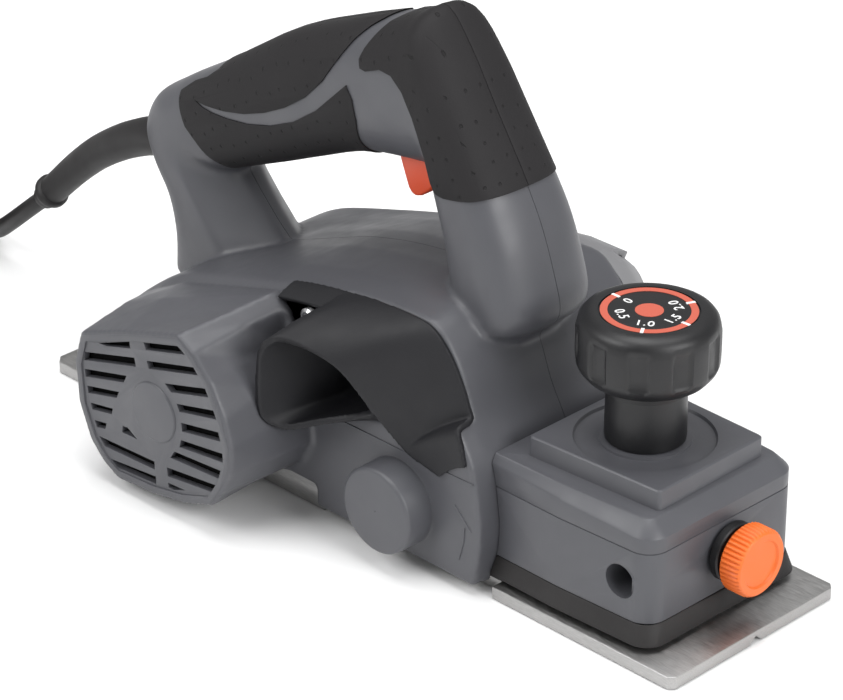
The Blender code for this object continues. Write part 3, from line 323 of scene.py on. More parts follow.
def inset(outline, distance):
    """Move each side of an outline inwards by a distance, or by one distance per corner."""
    count = len(outline)
    area = sum(outline[i - 1][0] * outline[i][1] - outline[i][0] * outline[i - 1][1]
               for i in range(count))
    side = 1.0 if area > 0 else -1.0
    out = []
    for i in range(count):
        here = Vector(outline[i])
        before = (here - Vector(outline[i - 1])).normalized()
        after = (Vector(outline[(i + 1) % count]) - here).normalized()
        n1 = Vector((-before.y, before.x)) * side
        n2 = Vector((-after.y, after.x)) * side
        middle = (n1 + n2).normalized()
        far = distance[i] if isinstance(distance, (list, tuple)) else distance
        out.append(tuple(here + middle * (far / max(0.5, middle.dot(n1)))))
    return out


def curved(p0, p1, p2, p3, sub):
    """Catmull-Rom points from p1 up to but not including p2."""
    out = []
    for j in range(sub):
        t = j / sub
        out.append(0.5 * (2 * p1 + (p2 - p0) * t + (2 * p0 - 5 * p1 + 4 * p2 - p3) * t * t
                          + (3 * p1 - p0 - 3 * p2 + p3) * t ** 3))
    return out


def through(points, sub):
    """A smooth line through an open row of points of any dimension."""
    rows = np.array(points, float)
    out = []
    last = len(rows) - 1
    for k in range(last):
        out.extend(curved(rows[max(k - 1, 0)], rows[k], rows[k + 1], rows[min(k + 2, last)], sub))
    out.append(rows[-1])
    return np.array(out)


def around(points, sub):
    """A smooth line round a closed row of points."""
    rows = np.array(points, float)
    count = len(rows)
    out = []
    for k in range(count):
        out.extend(curved(rows[k - 1], rows[k], rows[(k + 1) % count], rows[(k + 2) % count], sub))
    return np.array(out)


def raw(solid, name="raw"):
    """An object in millimetres, its faces turned outwards."""
    verts, faces = solid
    mesh = bpy.data.meshes.new(name)
    mesh.from_pydata([tuple(float(c) for c in v) for v in verts], [], faces)
    shaper = bmesh.new()
    shaper.from_mesh(mesh)
    bmesh.ops.remove_doubles(shaper, verts=shaper.verts, dist=1e-5)
    bmesh.ops.recalc_face_normals(shaper, faces=shaper.faces)
    shaper.to_mesh(mesh)
    shaper.free()
    return linked(name, mesh)


def evaluated(obj):
    """The mesh that an object's curves or modifiers make."""
    graph = bpy.context.evaluated_depsgraph_get()
    return bpy.data.meshes.new_from_object(obj.evaluated_get(graph))


def applied(obj):
    """Replace an object's mesh by what its modifiers make of it."""
    mesh = evaluated(obj)
    obj.modifiers.clear()
    obj.data = mesh
    return obj


def shape(target, operation, *solids):
    """Boolean solids (or scratch objects) into an object."""
    for solid in solids:
        other = solid if isinstance(solid, bpy.types.Object) else raw(solid)
        step = target.modifiers.new("step", "BOOLEAN")
        step.operation = operation
        step.object = other
        applied(target)
        bpy.data.objects.remove(other, do_unlink=True)
    return target


def join(target, *solids):
    return shape(target, "UNION", *solids)


def cut(target, *solids):
    return shape(target, "DIFFERENCE", *solids)


def voxels(obj, size, rounds):
    """Melt an object's solids together and round its edges a little."""
    step = obj.modifiers.new("melt", "REMESH")
    step.mode = "VOXEL"
    step.voxel_size = size
    step = obj.modifiers.new("soften", "SMOOTH")
    step.factor = 0.5
    step.iterations = rounds
    return applied(obj)


def bevelled(obj, width, segments=2, angle=32.0):
    """Round the sharp edges of a low-poly object."""
    shaper = bmesh.new()
    shaper.from_mesh(obj.data)
    bmesh.ops.remove_doubles(shaper, verts=shaper.verts, dist=1e-4)
    bmesh.ops.dissolve_limit(shaper, angle_limit=math.radians(1.0), verts=shaper.verts,
                             edges=shaper.edges)
    shaper.to_mesh(obj.data)
    shaper.free()
    step = obj.modifiers.new("round", "BEVEL")
    step.width = width
    step.segments = segments
    step.limit_method = "ANGLE"
    step.angle_limit = math.radians(angle)
    step.use_clamp_overlap = True
    return applied(obj)


def place(obj, name, look, node=None, body=None, slot=None, smooth=40.0, replaced=()):
    """Turn a scratch object into a finished piece that rides on a body."""
    obj.name = name
    obj.data.name = name
    obj.data.transform(Matrix.Scale(MM, 4))
    obj.data.materials.clear()
    obj.data.materials.append(look)
    for face in obj.data.polygons:
        face.material_index = 0
    obj.data.shade_smooth()
    if smooth < 180.0:
        obj.data.set_sharp_from_angle(angle=math.radians(smooth))
    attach(obj, body or BODY_OF[node])
    nodes = list(replaced) or ([node] if node else [])
    if nodes:
        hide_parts(*nodes)
    return obj


def cad_copy(node):
    """A scratch copy of a CAD node's mesh, in millimetres."""
    obj = linked("copy", frame["nodes"][node].data.copy())
    obj.data.transform(Matrix.Scale(1 / MM, 4))
    return obj


def rounded(corners, radius, steps=6):
    """Round each corner of a convex outline."""
    out = []
    count = len(corners)
    for i in range(count):
        here = Vector(corners[i])
        back = (Vector(corners[i - 1]) - here).normalized()
        ahead = (Vector(corners[(i + 1) % count]) - here).normalized()
        half = back.angle(ahead) / 2
        centre = here + (back + ahead).normalized() * (radius / math.sin(half))
        start = here + back * (radius / math.tan(half)) - centre
        end = here + ahead * (radius / math.tan(half)) - centre
        turn = start.angle_signed(end)
        for k in range(steps + 1):
            angle = -turn * k / steps
            c, s = math.cos(angle), math.sin(angle)
            out.append((centre.x + start.x * c - start.y * s, centre.y + start.x * s + start.y * c))
    return out


# ---- mains lead

LEAD_DIAMETER = 7.0
COIL_X = -318.0
COIL_Y = -14.0
COIL_INNER_TURN = 35.0
COIL_OUTER_TURN = 42.0
COIL_TURNS = 7.5
STEPS_PER_TURN = 28
PLUG_START = -260.4
PLUG_HEIGHT = 11.0
PIN_OFFSET = 9.5
LEAD_ROUTE = [
    (-206.9, 0.0, 39.6), (-213.0, 0.1, 34.8), (-221.0, 0.5, 28.3), (-230.0, 1.6, 21.2),
    (-240.0, 4.0, 14.0), (-250.5, 7.8, 8.2), (-262.0, 13.0, 4.6), (-274.0, 18.8, 3.6),
    (-285.0, 23.2, 3.6), (-301.0, 27.0, 3.6),
]
# radius and height of the lead in each turn of the coil, held until it changes over
TURNS = (
    (COIL_OUTER_TURN, 3.6), (COIL_INNER_TURN, 3.6), (COIL_INNER_TURN, 10.6), (COIL_OUTER_TURN, 10.6),
    (COIL_OUTER_TURN, 17.6), (COIL_INNER_TURN, 17.6), (COIL_INNER_TURN, 24.6), (COIL_OUTER_TURN, 24.6),
)
HELD = 0.88
TAIL_Y = COIL_Y - COIL_OUTER_TURN
TAIL_ROUTE = [
    (-309.0, TAIL_Y, 24.6), (-300.0, TAIL_Y, 24.4), (-292.0, TAIL_Y, 23.6), (-284.0, TAIL_Y, 20.6),
    (-276.0, TAIL_Y, 16.0), (-268.5, TAIL_Y, 12.2), (-263.4, TAIL_Y, PLUG_HEIGHT),
    (PLUG_START, TAIL_Y, PLUG_HEIGHT),
]


def lead_points():
    """The whole lead's centre line: the free stretch, the coil's turns, the tail."""
    points = [tuple(p) for p in through(LEAD_ROUTE, 4)]
    knots = [k + share for k in range(len(TURNS)) for share in (0.0, HELD)]
    radii, heights = np.repeat(np.array(TURNS), 2, axis=0).T
    for step in range(int(COIL_TURNS * STEPS_PER_TURN) + 1):
        turn = step / STEPS_PER_TURN
        radius = np.interp(turn, knots, radii)
        height = np.interp(turn, knots, heights)
        angle = math.pi / 2 + 2 * math.pi * turn
        points.append((COIL_X + radius * math.cos(angle), COIL_Y + radius * math.sin(angle), height))
    points.extend(tuple(p) for p in through(TAIL_ROUTE, 3))
    return points


def add_lead():
    curve = bpy.data.curves.new("mains_lead", "CURVE")
    curve.dimensions = "3D"
    curve.bevel_depth = LEAD_DIAMETER / 2 * MM
    curve.bevel_resolution = 4
    curve.use_fill_caps = True
    points = lead_points()
    spline = curve.splines.new("POLY")
    spline.points.add(len(points) - 1)
    for knot, (x, y, z) in zip(spline.points, points):
        knot.co = (x * MM, y * MM, z * MM, 1.0)
    spline.use_smooth = True
    curve.materials.append(RUBBER)
    obj = linked("mains_lead", curve)
    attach(obj, "machine")
    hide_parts("cord_lead", "cord_coil", "cord_tail")
    return obj


def add_plug():
    nose = PLUG_START + 0.3
    # distance from the nose, half width and half height of each section
    sections = [(0.0, 5.0, 5.0), (3.0, 5.4, 5.4), (9.0, 6.3, 6.2), (14.0, 7.2, 6.8), (17.0, 10.8, 8.2),
                (20.0, 13.6, 9.3), (26.0, 16.2, 10.3), (34.0, 17.3, 10.7), (40.0, 17.6, 10.8),
                (45.6, 17.6, 10.8), (46.6, 17.2, 10.4), (47.0, 16.4, 9.6)]
    rings = []
    for along, wide, tall in sections:
        corners = [(-wide, -tall), (wide, -tall), (wide, tall), (-wide, tall)]
        rings.append([(nose + along, TAIL_Y + a, PLUG_HEIGHT + b)
                      for a, b in rounded(corners, tall * 0.8, 6)])
    plug = raw(loft(rings))
    axis = (TAIL_Y, PLUG_HEIGHT)
    for k in range(5):
        x = nose + 4.2 + k * 2.2
        groove = lathe([(20.0, x), (20.0, x + 0.8)], "X", axis, 24)
        core = lathe([(5.0 + k * 0.25, x - 1), (5.0 + k * 0.25, x + 2)], "X", axis, 24)
        cut(plug, cut(raw(groove), core))
    piece = place(bevelled(plug, 0.3), "mains_plug_body", RUBBER, "mains_plug", smooth=45.0)
    pins = []
    for side, label in SIDES:
        pin = raw(lathe([(2.35, nose + 46.0), (2.4, nose + 47.0), (2.4, nose + 64.2),
                         (2.1, nose + 65.4), (1.2, nose + 66.0)], "X",
                        (TAIL_Y + side * PIN_OFFSET, PLUG_HEIGHT), 20))
        pins.append(place(pin, f"mains_pin_{label}", STEEL, body="machine", slot="steel"))
    return [piece] + pins


lead = add_lead()
plug_pieces = add_plug()

# ---- shared outlines

SPLIT = 0.1
BODY_SIDE = 45.5
WALL = 3.0
DRUM = (34.5, 23.8)
DRUM_BOSS = 14.4
DRUM_BORE = 11.2
MOTOR = (-51.0, 38.5)
MOTOR_BORE = 9.8
LOCK_BUTTON = (-8.0, 148.0)
LOCK_BORE = 4.9
PROFILE_TOP = [
    (-118.0, 11.8), (-114.0, 30.0), (-109.8, 44.0), (-95.0, 57.0), (-84.0, 64.0), (-71.6, 68.7),
    (-46.6, 75.9), (-22.6, 82.6), (-3.5, 87.2), (17.6, 90.2), (35.8, 91.3), (43.7, 90.0),
    (49.7, 84.9), (55.7, 76.1), (61.3, 62.3), (68.6, 49.0), (71.5, 35.5), (72.5, 22.0), (69.5, 3.8),
]
PROFILE_FOOT = [(-7.4, 3.8), (-7.4, 11.8)]
POD_END = -82.5
POD_WAIST = -60.0
POD_FOOT = -46.5
POD_OUTLINE = [
    (-86.3, 56.4), (-62.5, 65.6), (-34.6, 74.6), (-26.8, 70.0), (-18.6, 61.8), (-12.4, 50.5),
    (-9.0, 40.2), (-9.6, 30.2), (-14.4, 21.0), (-19.4, 14.0), (-34.0, 8.8), (-50.2, 5.8),
    (-69.8, 4.4), (-77.2, 8.2), (-83.6, 14.6), (-89.0, 27.5), (-90.2, 44.0),
]
POD_MIDDLE = [
    (-88.0, 59.5), (-68.0, 68.3), (-29.6, 78.0), (-24.5, 73.6), (-20.0, 63.5), (-12.6, 54.0),
    (-8.6, 42.0), (-8.0, 30.0), (-13.0, 20.5), (-21.9, 13.5), (-38.0, 9.0), (-56.0, 7.0),
    (-77.5, 6.2), (-85.0, 11.6), (-90.5, 19.5), (-96.0, 33.5), (-96.0, 48.0),
]
POD_ROOT = [
    (-94.0, 56.0), (-76.0, 65.5), (-26.4, 80.4), (-21.8, 75.6), (-20.0, 63.5), (-12.6, 54.0),
    (-8.6, 42.0), (-8.0, 30.0), (-13.0, 20.5), (-21.9, 13.5), (-38.0, 9.6), (-62.0, 8.8),
    (-90.0, 8.8), (-98.5, 13.0), (-104.5, 21.0), (-109.0, 35.0), (-106.5, 47.0),
]
HANDLE = [
    # outer x, z, inner x, z, half width, crease place, narrowing inwards of the crease
    (-119.2, 47.0, -58.0, 47.0, 19.0, -0.6, 0.62), (-118.7, 62.0, -60.0, 64.0, 19.0, -0.25, 0.62),
    (-121.7, 77.0, -73.0, 76.0, 18.5, -0.12, 0.58), (-128.9, 88.0, -83.5, 86.5, 18.0, -0.12, 0.48),
    (-133.2, 99.0, -88.0, 92.0, 17.5, -0.05, 0.28),
] + [(*row, 0.0, 0.0) for row in (
    # the same without a crease
    (-128.2, 111.2, -86.0, 94.5, 17.5), (-116.6, 119.6, -80.5, 97.0, 17.5),
    (-104.5, 127.0, -74.0, 99.8, 17.5), (-85.8, 137.8, -61.0, 105.3, 17.5),
    (-59.2, 154.5, -40.5, 114.5, 18.0), (-33.6, 165.7, -20.5, 122.6, 18.0),
    (-13.8, 173.4, -3.5, 125.8, 18.0), (1.9, 179.0, 8.0, 127.4, 18.0),
    (12.0, 183.0, 14.5, 128.0, 18.5), (22.8, 171.3, 17.0, 127.0, 19.3),
    (35.0, 152.0, 18.5, 124.0, 20.4), (48.2, 131.7, 20.6, 117.5, 21.5),
    (56.2, 116.8, 24.6, 108.0, 22.6), (62.4, 99.9, 27.0, 96.0, 23.4),
    (64.6, 91.0, 26.4, 90.0, 23.6), (62.6, 85.0, 25.4, 85.0, 23.4), (56.6, 80.0, 25.4, 80.0, 22.6),
    (54.0, 72.0, 25.4, 72.0, 22.0),
)]
HANDLE_POWER = 2.7
HANDLE_FACETS = 56


def handle(grow, first=0, last=None):
    """The whole handle as one smooth loft, grown or shrunk."""
    rings = []
    for ox, oz, ix, iz, width, crease, taper in through(HANDLE[first:last], 4):
        cx, cz = (ox + ix) / 2, (oz + iz) / 2
        half = math.hypot(ox - ix, oz - iz) / 2
        ux, uz = (ox - cx) / half, (oz - cz) / half
        ring = []
        for i in range(HANDLE_FACETS):
            angle = 2 * math.pi * (i + 0.5) / HANDLE_FACETS
            c, s = math.cos(angle), math.sin(angle)
            a = math.copysign(abs(c) ** (2 / HANDLE_POWER), c) * (half + grow)
            narrow = 1.0 - taper * max(0.0, crease - a / (half + grow)) / (1.0 + crease)
            b = math.copysign(abs(s) ** (2 / HANDLE_POWER), s) * (width * narrow + grow)
            ring.append((cx + a * ux, b, cz + a * uz))
        rings.append(ring)
    return loft(rings)


def body_profile():
    return [tuple(p) for p in through(PROFILE_TOP, 4)] + PROFILE_FOOT


def pod(depth, end, root):
    """The motor pod from its end to its root, shrunk more where its sides slope more."""
    foot = inset(POD_ROOT, depth * 2.2)
    return stack("Y", (inset(POD_OUTLINE, depth), end), (inset(POD_MIDDLE, depth * 1.4), POD_WAIST),
                 (foot, POD_FOOT), (foot, root))


# ---- body shells

# the recess behind the chute, in two parts
SHIELD_FRONT = [
    (-3.6, 78.0), (-3.6, 48.0), (3.2, 45.2), (13.3, 47.8), (24.9, 50.8), (33.0, 53.5), (41.0, 54.5),
    (47.0, 50.5), (52.0, 46.0), (55.0, 44.5), (60.0, 48.0), (58.4, 60.6), (61.4, 62.0), (60.6, 68.0),
    (56.0, 80.0), (45.0, 97.0), (3.0, 97.0), (3.0, 82.0),
]
SHIELD_REAR = [(-22.8, 83.4), (-24.4, 78.9), (-20.2, 75.0), (-17.0, 69.0), (-6.0, 54.5), (3.6, 50.0),
               (3.6, 97.0), (-15.0, 97.0)]
# room in the shells for the trigger and for the front shoe, and the handle's wall
TRIGGER_WELL = [(-7.6, 100.0), (15.5, 100.0), (15.6, 139.0), (-7.7, 139.2)]
SHOE_CLEARANCE = ((50.0, -36.7, 0.0), (90.0, 36.7, 7.4))
HANDLE_WALL = 5.2


def rounded_body():
    """The profile swept across: sloping near shoulder, crowned top, rounded far shoulder."""
    outline = body_profile()
    near = []
    far = []
    crown = []
    for x, z in outline:
        top = ramp(z, 30.0, 62.0)
        ahead = ramp(x, 36.0, 56.0)
        behind = ramp(-x, 45.0, 75.0)
        near.append(0.5 + 3.6 * top * (1.0 - ahead))
        crown.append(4.2 * ramp(z, 70.0, 82.0) * (1.0 - ahead))
        far.append(0.8 + top * (5.0 + 6.0 * behind) * (1.0 - 0.8 * ahead))
    rings = []
    for y, share in ((-BODY_SIDE, 1.0), (-45.2, 0.93), (-38.8, 0.08), (-37.6, 0.0)):
        rings.append([lay(p, "Y", y) for p in inset(outline, [n * share for n in near])])
    for y, share in ((-26.0, 0.55), (-10.0, 1.0), (8.0, 1.0), (26.0, 0.5)):
        rings.append([lay(p, "Y", y) for p in inset(outline, [-c * share for c in crown])])
    for k in range(6, -1, -1):
        angle = math.pi / 2 * k / 6
        lift = [f * (1 - math.sin(angle)) for f in far]
        y = BODY_SIDE - 8.5 * (1 - math.cos(angle))
        rings.append([lay(p, "Y", y) for p in inset(outline, lift)])
    return loft(rings)


def add_shells():
    shell = raw(rounded_body())
    join(shell, handle(0.0), pod(0.0, POD_END, -BODY_SIDE + 2.0),
         lathe([(DRUM_BOSS, -51.0), (DRUM_BOSS, 49.0)], "Y", DRUM, 40))
    # the cavity is open below
    inner = [(x, z if z > 15 else z - 12) for x, z in inset(body_profile(), WALL)]
    cavity = prism(inner, "Y", -BODY_SIDE + WALL + 0.3, BODY_SIDE - WALL - 0.3)
    cut(shell, cavity, handle(-HANDLE_WALL),
        prism(TRIGGER_WELL, "Y", -8.2, 8.2),
        pod(WALL, POD_END - 1, -BODY_SIDE + 8.0),
        box(*SHOE_CLEARANCE),
        lathe([(DRUM_BORE, -60.0), (DRUM_BORE, 60.0)], "Y", DRUM, 32),
        lathe([(MOTOR_BORE, 35.0), (MOTOR_BORE, 60.0)], "Y", MOTOR, 32),
        lathe([(LOCK_BORE, 11.0), (LOCK_BORE, 25.0)], "Y", LOCK_BUTTON, 24),
        prism(SHIELD_FRONT, "Y", -60.0, -37.7), prism(SHIELD_REAR, "Y", -60.0, -39.5))
    voxels(shell, 1.0, 4)
    for side, label in SIDES:
        half = linked("half", shell.data.copy())
        shaper = bmesh.new()
        shaper.from_mesh(half.data)
        geometry = shaper.verts[:] + shaper.edges[:] + shaper.faces[:]
        bmesh.ops.bisect_plane(shaper, geom=geometry, plane_co=(0, side * SPLIT, 0),
                               plane_no=(0, -side, 0), clear_outer=True)
        rim = [edge for edge in shaper.edges if edge.is_boundary]
        bmesh.ops.triangle_fill(shaper, edges=rim, use_beauty=True)
        shaper.to_mesh(half.data)
        shaper.free()
        place(half, f"body_{label}", HOUSING, f"{label}_shell", smooth=50.0)
    bpy.data.objects.remove(shell, do_unlink=True)


# ---- soft grips

REAR_GRIP = [
    (-88.0, 150.0), (-90.5, 133.0), (-95.0, 129.0), (-101.5, 125.6), (-107.8, 120.4), (-107.3, 118.0),
    (-105.2, 114.4), (-101.9, 109.1), (-96.7, 105.2), (-91.9, 100.9), (-87.0, 97.5), (-83.0, 88.0),
    (-30.0, 108.0), (-13.2, 118.0), (-13.6, 126.0), (-14.5, 132.0), (-14.0, 139.5), (-15.4, 146.6),
    (-18.4, 151.2), (-24.6, 145.3), (-33.3, 137.2), (-45.1, 129.1), (-57.0, 123.8), (-69.0, 120.6),
    (-79.5, 119.3), (-87.2, 119.0), (-93.0, 119.4), (-97.6, 120.5), (-90.7, 120.6), (-81.0, 121.7),
    (-70.3, 124.1), (-59.6, 128.0), (-49.0, 133.3), (-38.8, 140.3), (-30.3, 148.8), (-23.1, 159.5),
    (-18.2, 167.2), (-14.4, 171.8), (-11.8, 174.2), (-8.0, 182.0), (-45.0, 190.0),
]
FRONT_GRIP = [
    (4.0, 192.0), (-3.4, 177.8), (-6.4, 175.4), (-8.8, 171.5), (-11.7, 166.2), (-13.2, 162.1),
    (-12.1, 159.2), (-9.2, 159.0), (-2.7, 161.6), (3.0, 161.2), (8.5, 157.2), (13.7, 149.5),
    (17.4, 141.3), (20.6, 134.0), (23.0, 129.4), (26.7, 127.0), (31.2, 127.1), (43.1, 129.2),
    (47.2, 130.2), (62.0, 134.0), (50.0, 175.0), (30.0, 200.0),
]
GRIP_STAND = 0.55
GRIP_DEPTH = 1.4
ROUND_SCALE = 20.0


def around_map(obj):
    """A map on the handle's surface: distance along it, and distance round it."""
    line = np.array([((ox + ix) / 2, (oz + iz) / 2) for ox, oz, ix, iz, *_ in through(HANDLE, 4)])
    steps = np.diff(line, axis=0)
    lengths = np.hypot(steps[:, 0], steps[:, 1])
    starts = np.concatenate([[0.0], np.cumsum(lengths)])[:-1]
    mesh = obj.data
    co = np.zeros(len(mesh.vertices) * 3)
    mesh.vertices.foreach_get("co", co)
    co = co.reshape(-1, 3)
    best = np.full(len(co), 1e9)
    along = np.zeros(len(co))
    off = np.zeros(len(co))
    for a, step, length, start in zip(line, steps, lengths, starts):
        unit = step / length
        rel = co[:, (0, 2)] - a
        t = np.clip(rel @ unit, 0.0, length)
        gap = rel - t[:, None] * unit
        far = np.hypot(gap[:, 0], gap[:, 1])
        near = far < best
        best[near] = far[near]
        along[near] = (start + t)[near]
        off[near] = (rel[:, 0] * unit[1] - rel[:, 1] * unit[0])[near]
    round_it = np.arctan2(np.abs(co[:, 1]), off) * ROUND_SCALE
    layer = mesh.uv_layers.new(name="around")
    corner = np.zeros(len(mesh.loops), np.int64)
    mesh.loops.foreach_get("vertex_index", corner)
    uv = np.stack([along[corner], round_it[corner]], axis=1) * MM
    layer.data.foreach_set("uv", uv.astype(np.float32).ravel())


def add_grips():
    # name, outline, first and last handle rows, CAD nodes
    plans = (
        ("rear_grip", REAR_GRIP, 3, 14, ("rear_upper_grip", "rear_lower_grip")),
        ("front_grip", FRONT_GRIP, 9, 19, ("front_grip",)),
    )
    for name, outline, first, last, nodes in plans:
        for side, label in SIDES:
            patch = raw(handle(GRIP_STAND, first, last))
            y0, y1 = sorted((side * SPLIT, side * 40.0))
            shape(patch, "INTERSECT", prism(outline, "Y", y0, y1))
            cut(patch, handle(-GRIP_DEPTH, first, last))
            bevelled(patch, 0.4, 2, 40.0)
            around_map(patch)
            place(patch, f"{name}_{label}_soft", GRIP, f"{nodes[0]}_{label}", smooth=50.0,
                  replaced=[f"{n}_{label}" for n in nodes])


# ---- motor grille

GRILLE_SLOTS = [
    [(-77.5, 55.2), (-60.6, 62.0), (-60.3, 59.4), (-73.0, 55.6)],
    [(-85.2, 48.8), (-58.3, 56.6), (-57.7, 53.3), (-85.6, 45.4)],
    [(-85.6, 41.9), (-62.9, 47.8), (-64.6, 44.5), (-85.3, 38.9)],
    [(-84.6, 35.6), (-67.4, 39.7), (-68.8, 36.8), (-84.3, 32.8)],
    [(-83.3, 29.3), (-71.2, 31.6), (-71.9, 29.1), (-82.6, 26.9)],
    [(-81.6, 23.0), (-75.0, 24.2), (-75.9, 21.6), (-80.5, 20.6)],
    [(-79.4, 17.4), (-49.8, 19.0), (-49.7, 15.8), (-76.7, 14.4)],
    [(-73.3, 10.6), (-49.4, 13.2), (-49.2, 10.2), (-70.3, 8.4)],
    [(-53.1, 64.5), (-35.4, 69.7), (-31.4, 67.9), (-52.0, 62.0)],
    [(-51.8, 57.9), (-26.6, 64.8), (-24.0, 62.7), (-50.9, 55.1)],
    [(-42.7, 52.6), (-20.3, 59.0), (-18.2, 56.4), (-39.6, 50.3)],
    [(-36.9, 46.9), (-17.8, 51.7), (-16.6, 48.7), (-35.5, 44.3)],
    [(-34.9, 40.3), (-15.8, 44.1), (-14.8, 40.9), (-34.5, 37.0)],
    [(-35.2, 33.4), (-14.0, 36.5), (-13.9, 33.1), (-36.2, 30.2)],
    [(-38.9, 27.4), (-15.2, 29.4), (-16.4, 25.8), (-41.2, 24.0)],
    [(-43.3, 19.4), (-18.0, 22.6), (-20.4, 19.0), (-43.0, 15.9)],
    [(-42.9, 13.4), (-34.0, 14.0), (-40.0, 11.6), (-42.6, 11.6)],
    [(-66.2, 26.8), (-63.4, 27.0), (-58.6, 24.4), (-66.6, 24.0)],
]
HUB_RADIUS = 11.3
HUB = (-48.9, 39.0)


def add_grille():
    """Slotted plate with a raised rim and hub, and a black sheet behind its slots as painted shade."""
    ring = raw(prism(inset(POD_OUTLINE, 1.2), "Y", POD_END, POD_END + 3.2))
    cut(ring, prism(inset(POD_OUTLINE, 3.4), "Y", POD_END - 1.0, POD_END + 5.0))
    plate = raw(prism(inset(POD_OUTLINE, 3.0), "Y", POD_END + 0.7, POD_END + 3.0))
    for outline in GRILLE_SLOTS:
        cut(plate, prism(outline, "Y", POD_END - 2.0, POD_END + 6.0))
    join(plate, ring)
    join(plate, lathe([(HUB_RADIUS - 0.5, POD_END + 0.1), (HUB_RADIUS, POD_END + 0.5),
                       (HUB_RADIUS, POD_END + 3.0), (12.4, POD_END + 3.0), (12.4, POD_END + 7.4)],
                      "Y", HUB, 56))
    cut(plate, lathe([(MOTOR_BORE, POD_END + 2.4), (MOTOR_BORE, POD_END + 9.0)], "Y", MOTOR, 32))
    bevelled(plate, 0.3, 2, 35.0)
    place(plate, "grille_plate", HOUSING, "motor_grille", smooth=35.0)
    # a black sheet just behind the slots: painted shade where the inside of the pod would lie in shadow
    shade_sheet = raw(prism(inset(POD_OUTLINE, 4.0), "Y", POD_END + 3.5, POD_END + 4.1))
    cut(shade_sheet, lathe([(12.8, POD_END), (12.8, POD_END + 9.0)], "Y", MOTOR, 32))
    place(shade_sheet, "grille_shade_sheet", SHADE_BLACK, body="machine", slot="hard_black")


# ---- chute

TUBE_WALL = -40.0
TUBE_ROWS = [
    # mouth x, y, z and x, z of the matching point of the tube where it passes the side wall
    ((-10.8, -68.0, 49.3), (-2.0, 50.0)), ((-11.0, -68.2, 58.0), (-2.0, 58.0)),
    ((-10.9, -68.0, 66.0), (-2.0, 66.0)), ((-10.2, -67.6, 71.6), (-1.0, 74.0)),
    ((-8.0, -66.0, 75.6), (3.0, 80.0)), ((-3.5, -63.5, 77.2), (9.0, 83.5)),
    ((6.0, -61.0, 76.4), (18.0, 85.0)), ((16.0, -58.0, 72.8), (30.0, 84.0)),
    ((21.4, -55.3, 67.4), (40.0, 79.0)), ((25.6, -52.4, 60.5), (46.0, 70.0)),
    ((26.5, -50.8, 57.0), (47.0, 62.0)), ((22.5, -49.2, 54.0), (42.0, 56.0)),
    ((14.0, -52.5, 50.0), (30.0, 52.0)), ((4.5, -57.3, 46.0), (16.0, 49.0)),
    ((-5.0, -62.0, 42.2), (5.0, 46.5)), ((-9.3, -66.3, 44.6), (-1.0, 47.0)),
]
HOOD_ROWS = [
    # outer edge x, y, z and the matching point on the body's shoulder
    ((-9.6, -67.2, 73.4), (4.0, -38.0, 88.0)), ((-6.0, -65.0, 76.8), (9.0, -38.0, 88.7)),
    ((-1.0, -62.8, 77.4), (15.0, -38.0, 89.5)), ((6.0, -61.0, 76.6), (24.0, -38.0, 90.2)),
    ((16.0, -58.0, 73.0), (37.0, -38.0, 90.8)), ((21.4, -55.3, 67.6), (44.5, -38.0, 89.0)),
    ((25.6, -52.4, 60.7), (51.6, -38.0, 82.4)), ((31.0, -49.8, 53.4), (57.4, -38.0, 72.8)),
    ((35.0, -48.2, 49.0), (60.2, -38.0, 66.0)), ((38.0, -47.2, 46.0), (61.6, -38.2, 62.6)),
    ((39.6, -46.6, 44.6), (62.7, -45.3, 61.4)), ((46.0, -46.2, 42.8), (64.4, -45.6, 56.0)),
    ((54.4, -46.0, 41.1), (66.4, -45.8, 49.3)),
]
# centre and relative size of the tube's inner end, and x of the tube's middle at the wall
THROAT = (18.0, -13.0, 66.0)
THROAT_SHARE = 0.62
TUBE_MIDDLE = 22.0
FLANGE_ROWS = [
    ((-24.2, -45.4, 78.8), (-23.3, -38.0, 82.6)), ((-14.0, -45.4, 80.8), (-13.0, -38.0, 85.2)),
    ((0.2, -45.6, 83.0), (-2.0, -38.0, 87.2)), ((6.0, -47.0, 83.6), (8.0, -38.0, 88.4)),
]


def ruled(first, second, steps, bulge=0.0):
    """Rows of points between two matching lines, lifted in the middle."""
    first, second = np.array(first, float), np.array(second, float)
    rows = []
    for k in range(steps + 1):
        share = k / steps
        row = first * (1 - share) + second * share
        row[:, 2] += bulge * math.sin(math.pi * share)
        rows.append(row)
    return rows


def sheet(rows, closed, thick):
    """A sheet through rows of points, thickened both ways."""
    count = len(rows[0])
    verts = [tuple(point) for row in rows for point in row]
    faces = strips(len(rows), count, count if closed else count - 1)
    if closed:
        faces.append([(len(rows) - 1) * count + i for i in range(count)])
    obj = raw((verts, faces))
    step = obj.modifiers.new("thick", "SOLIDIFY")
    step.thickness = thick
    step.offset = 0.0
    return applied(obj)


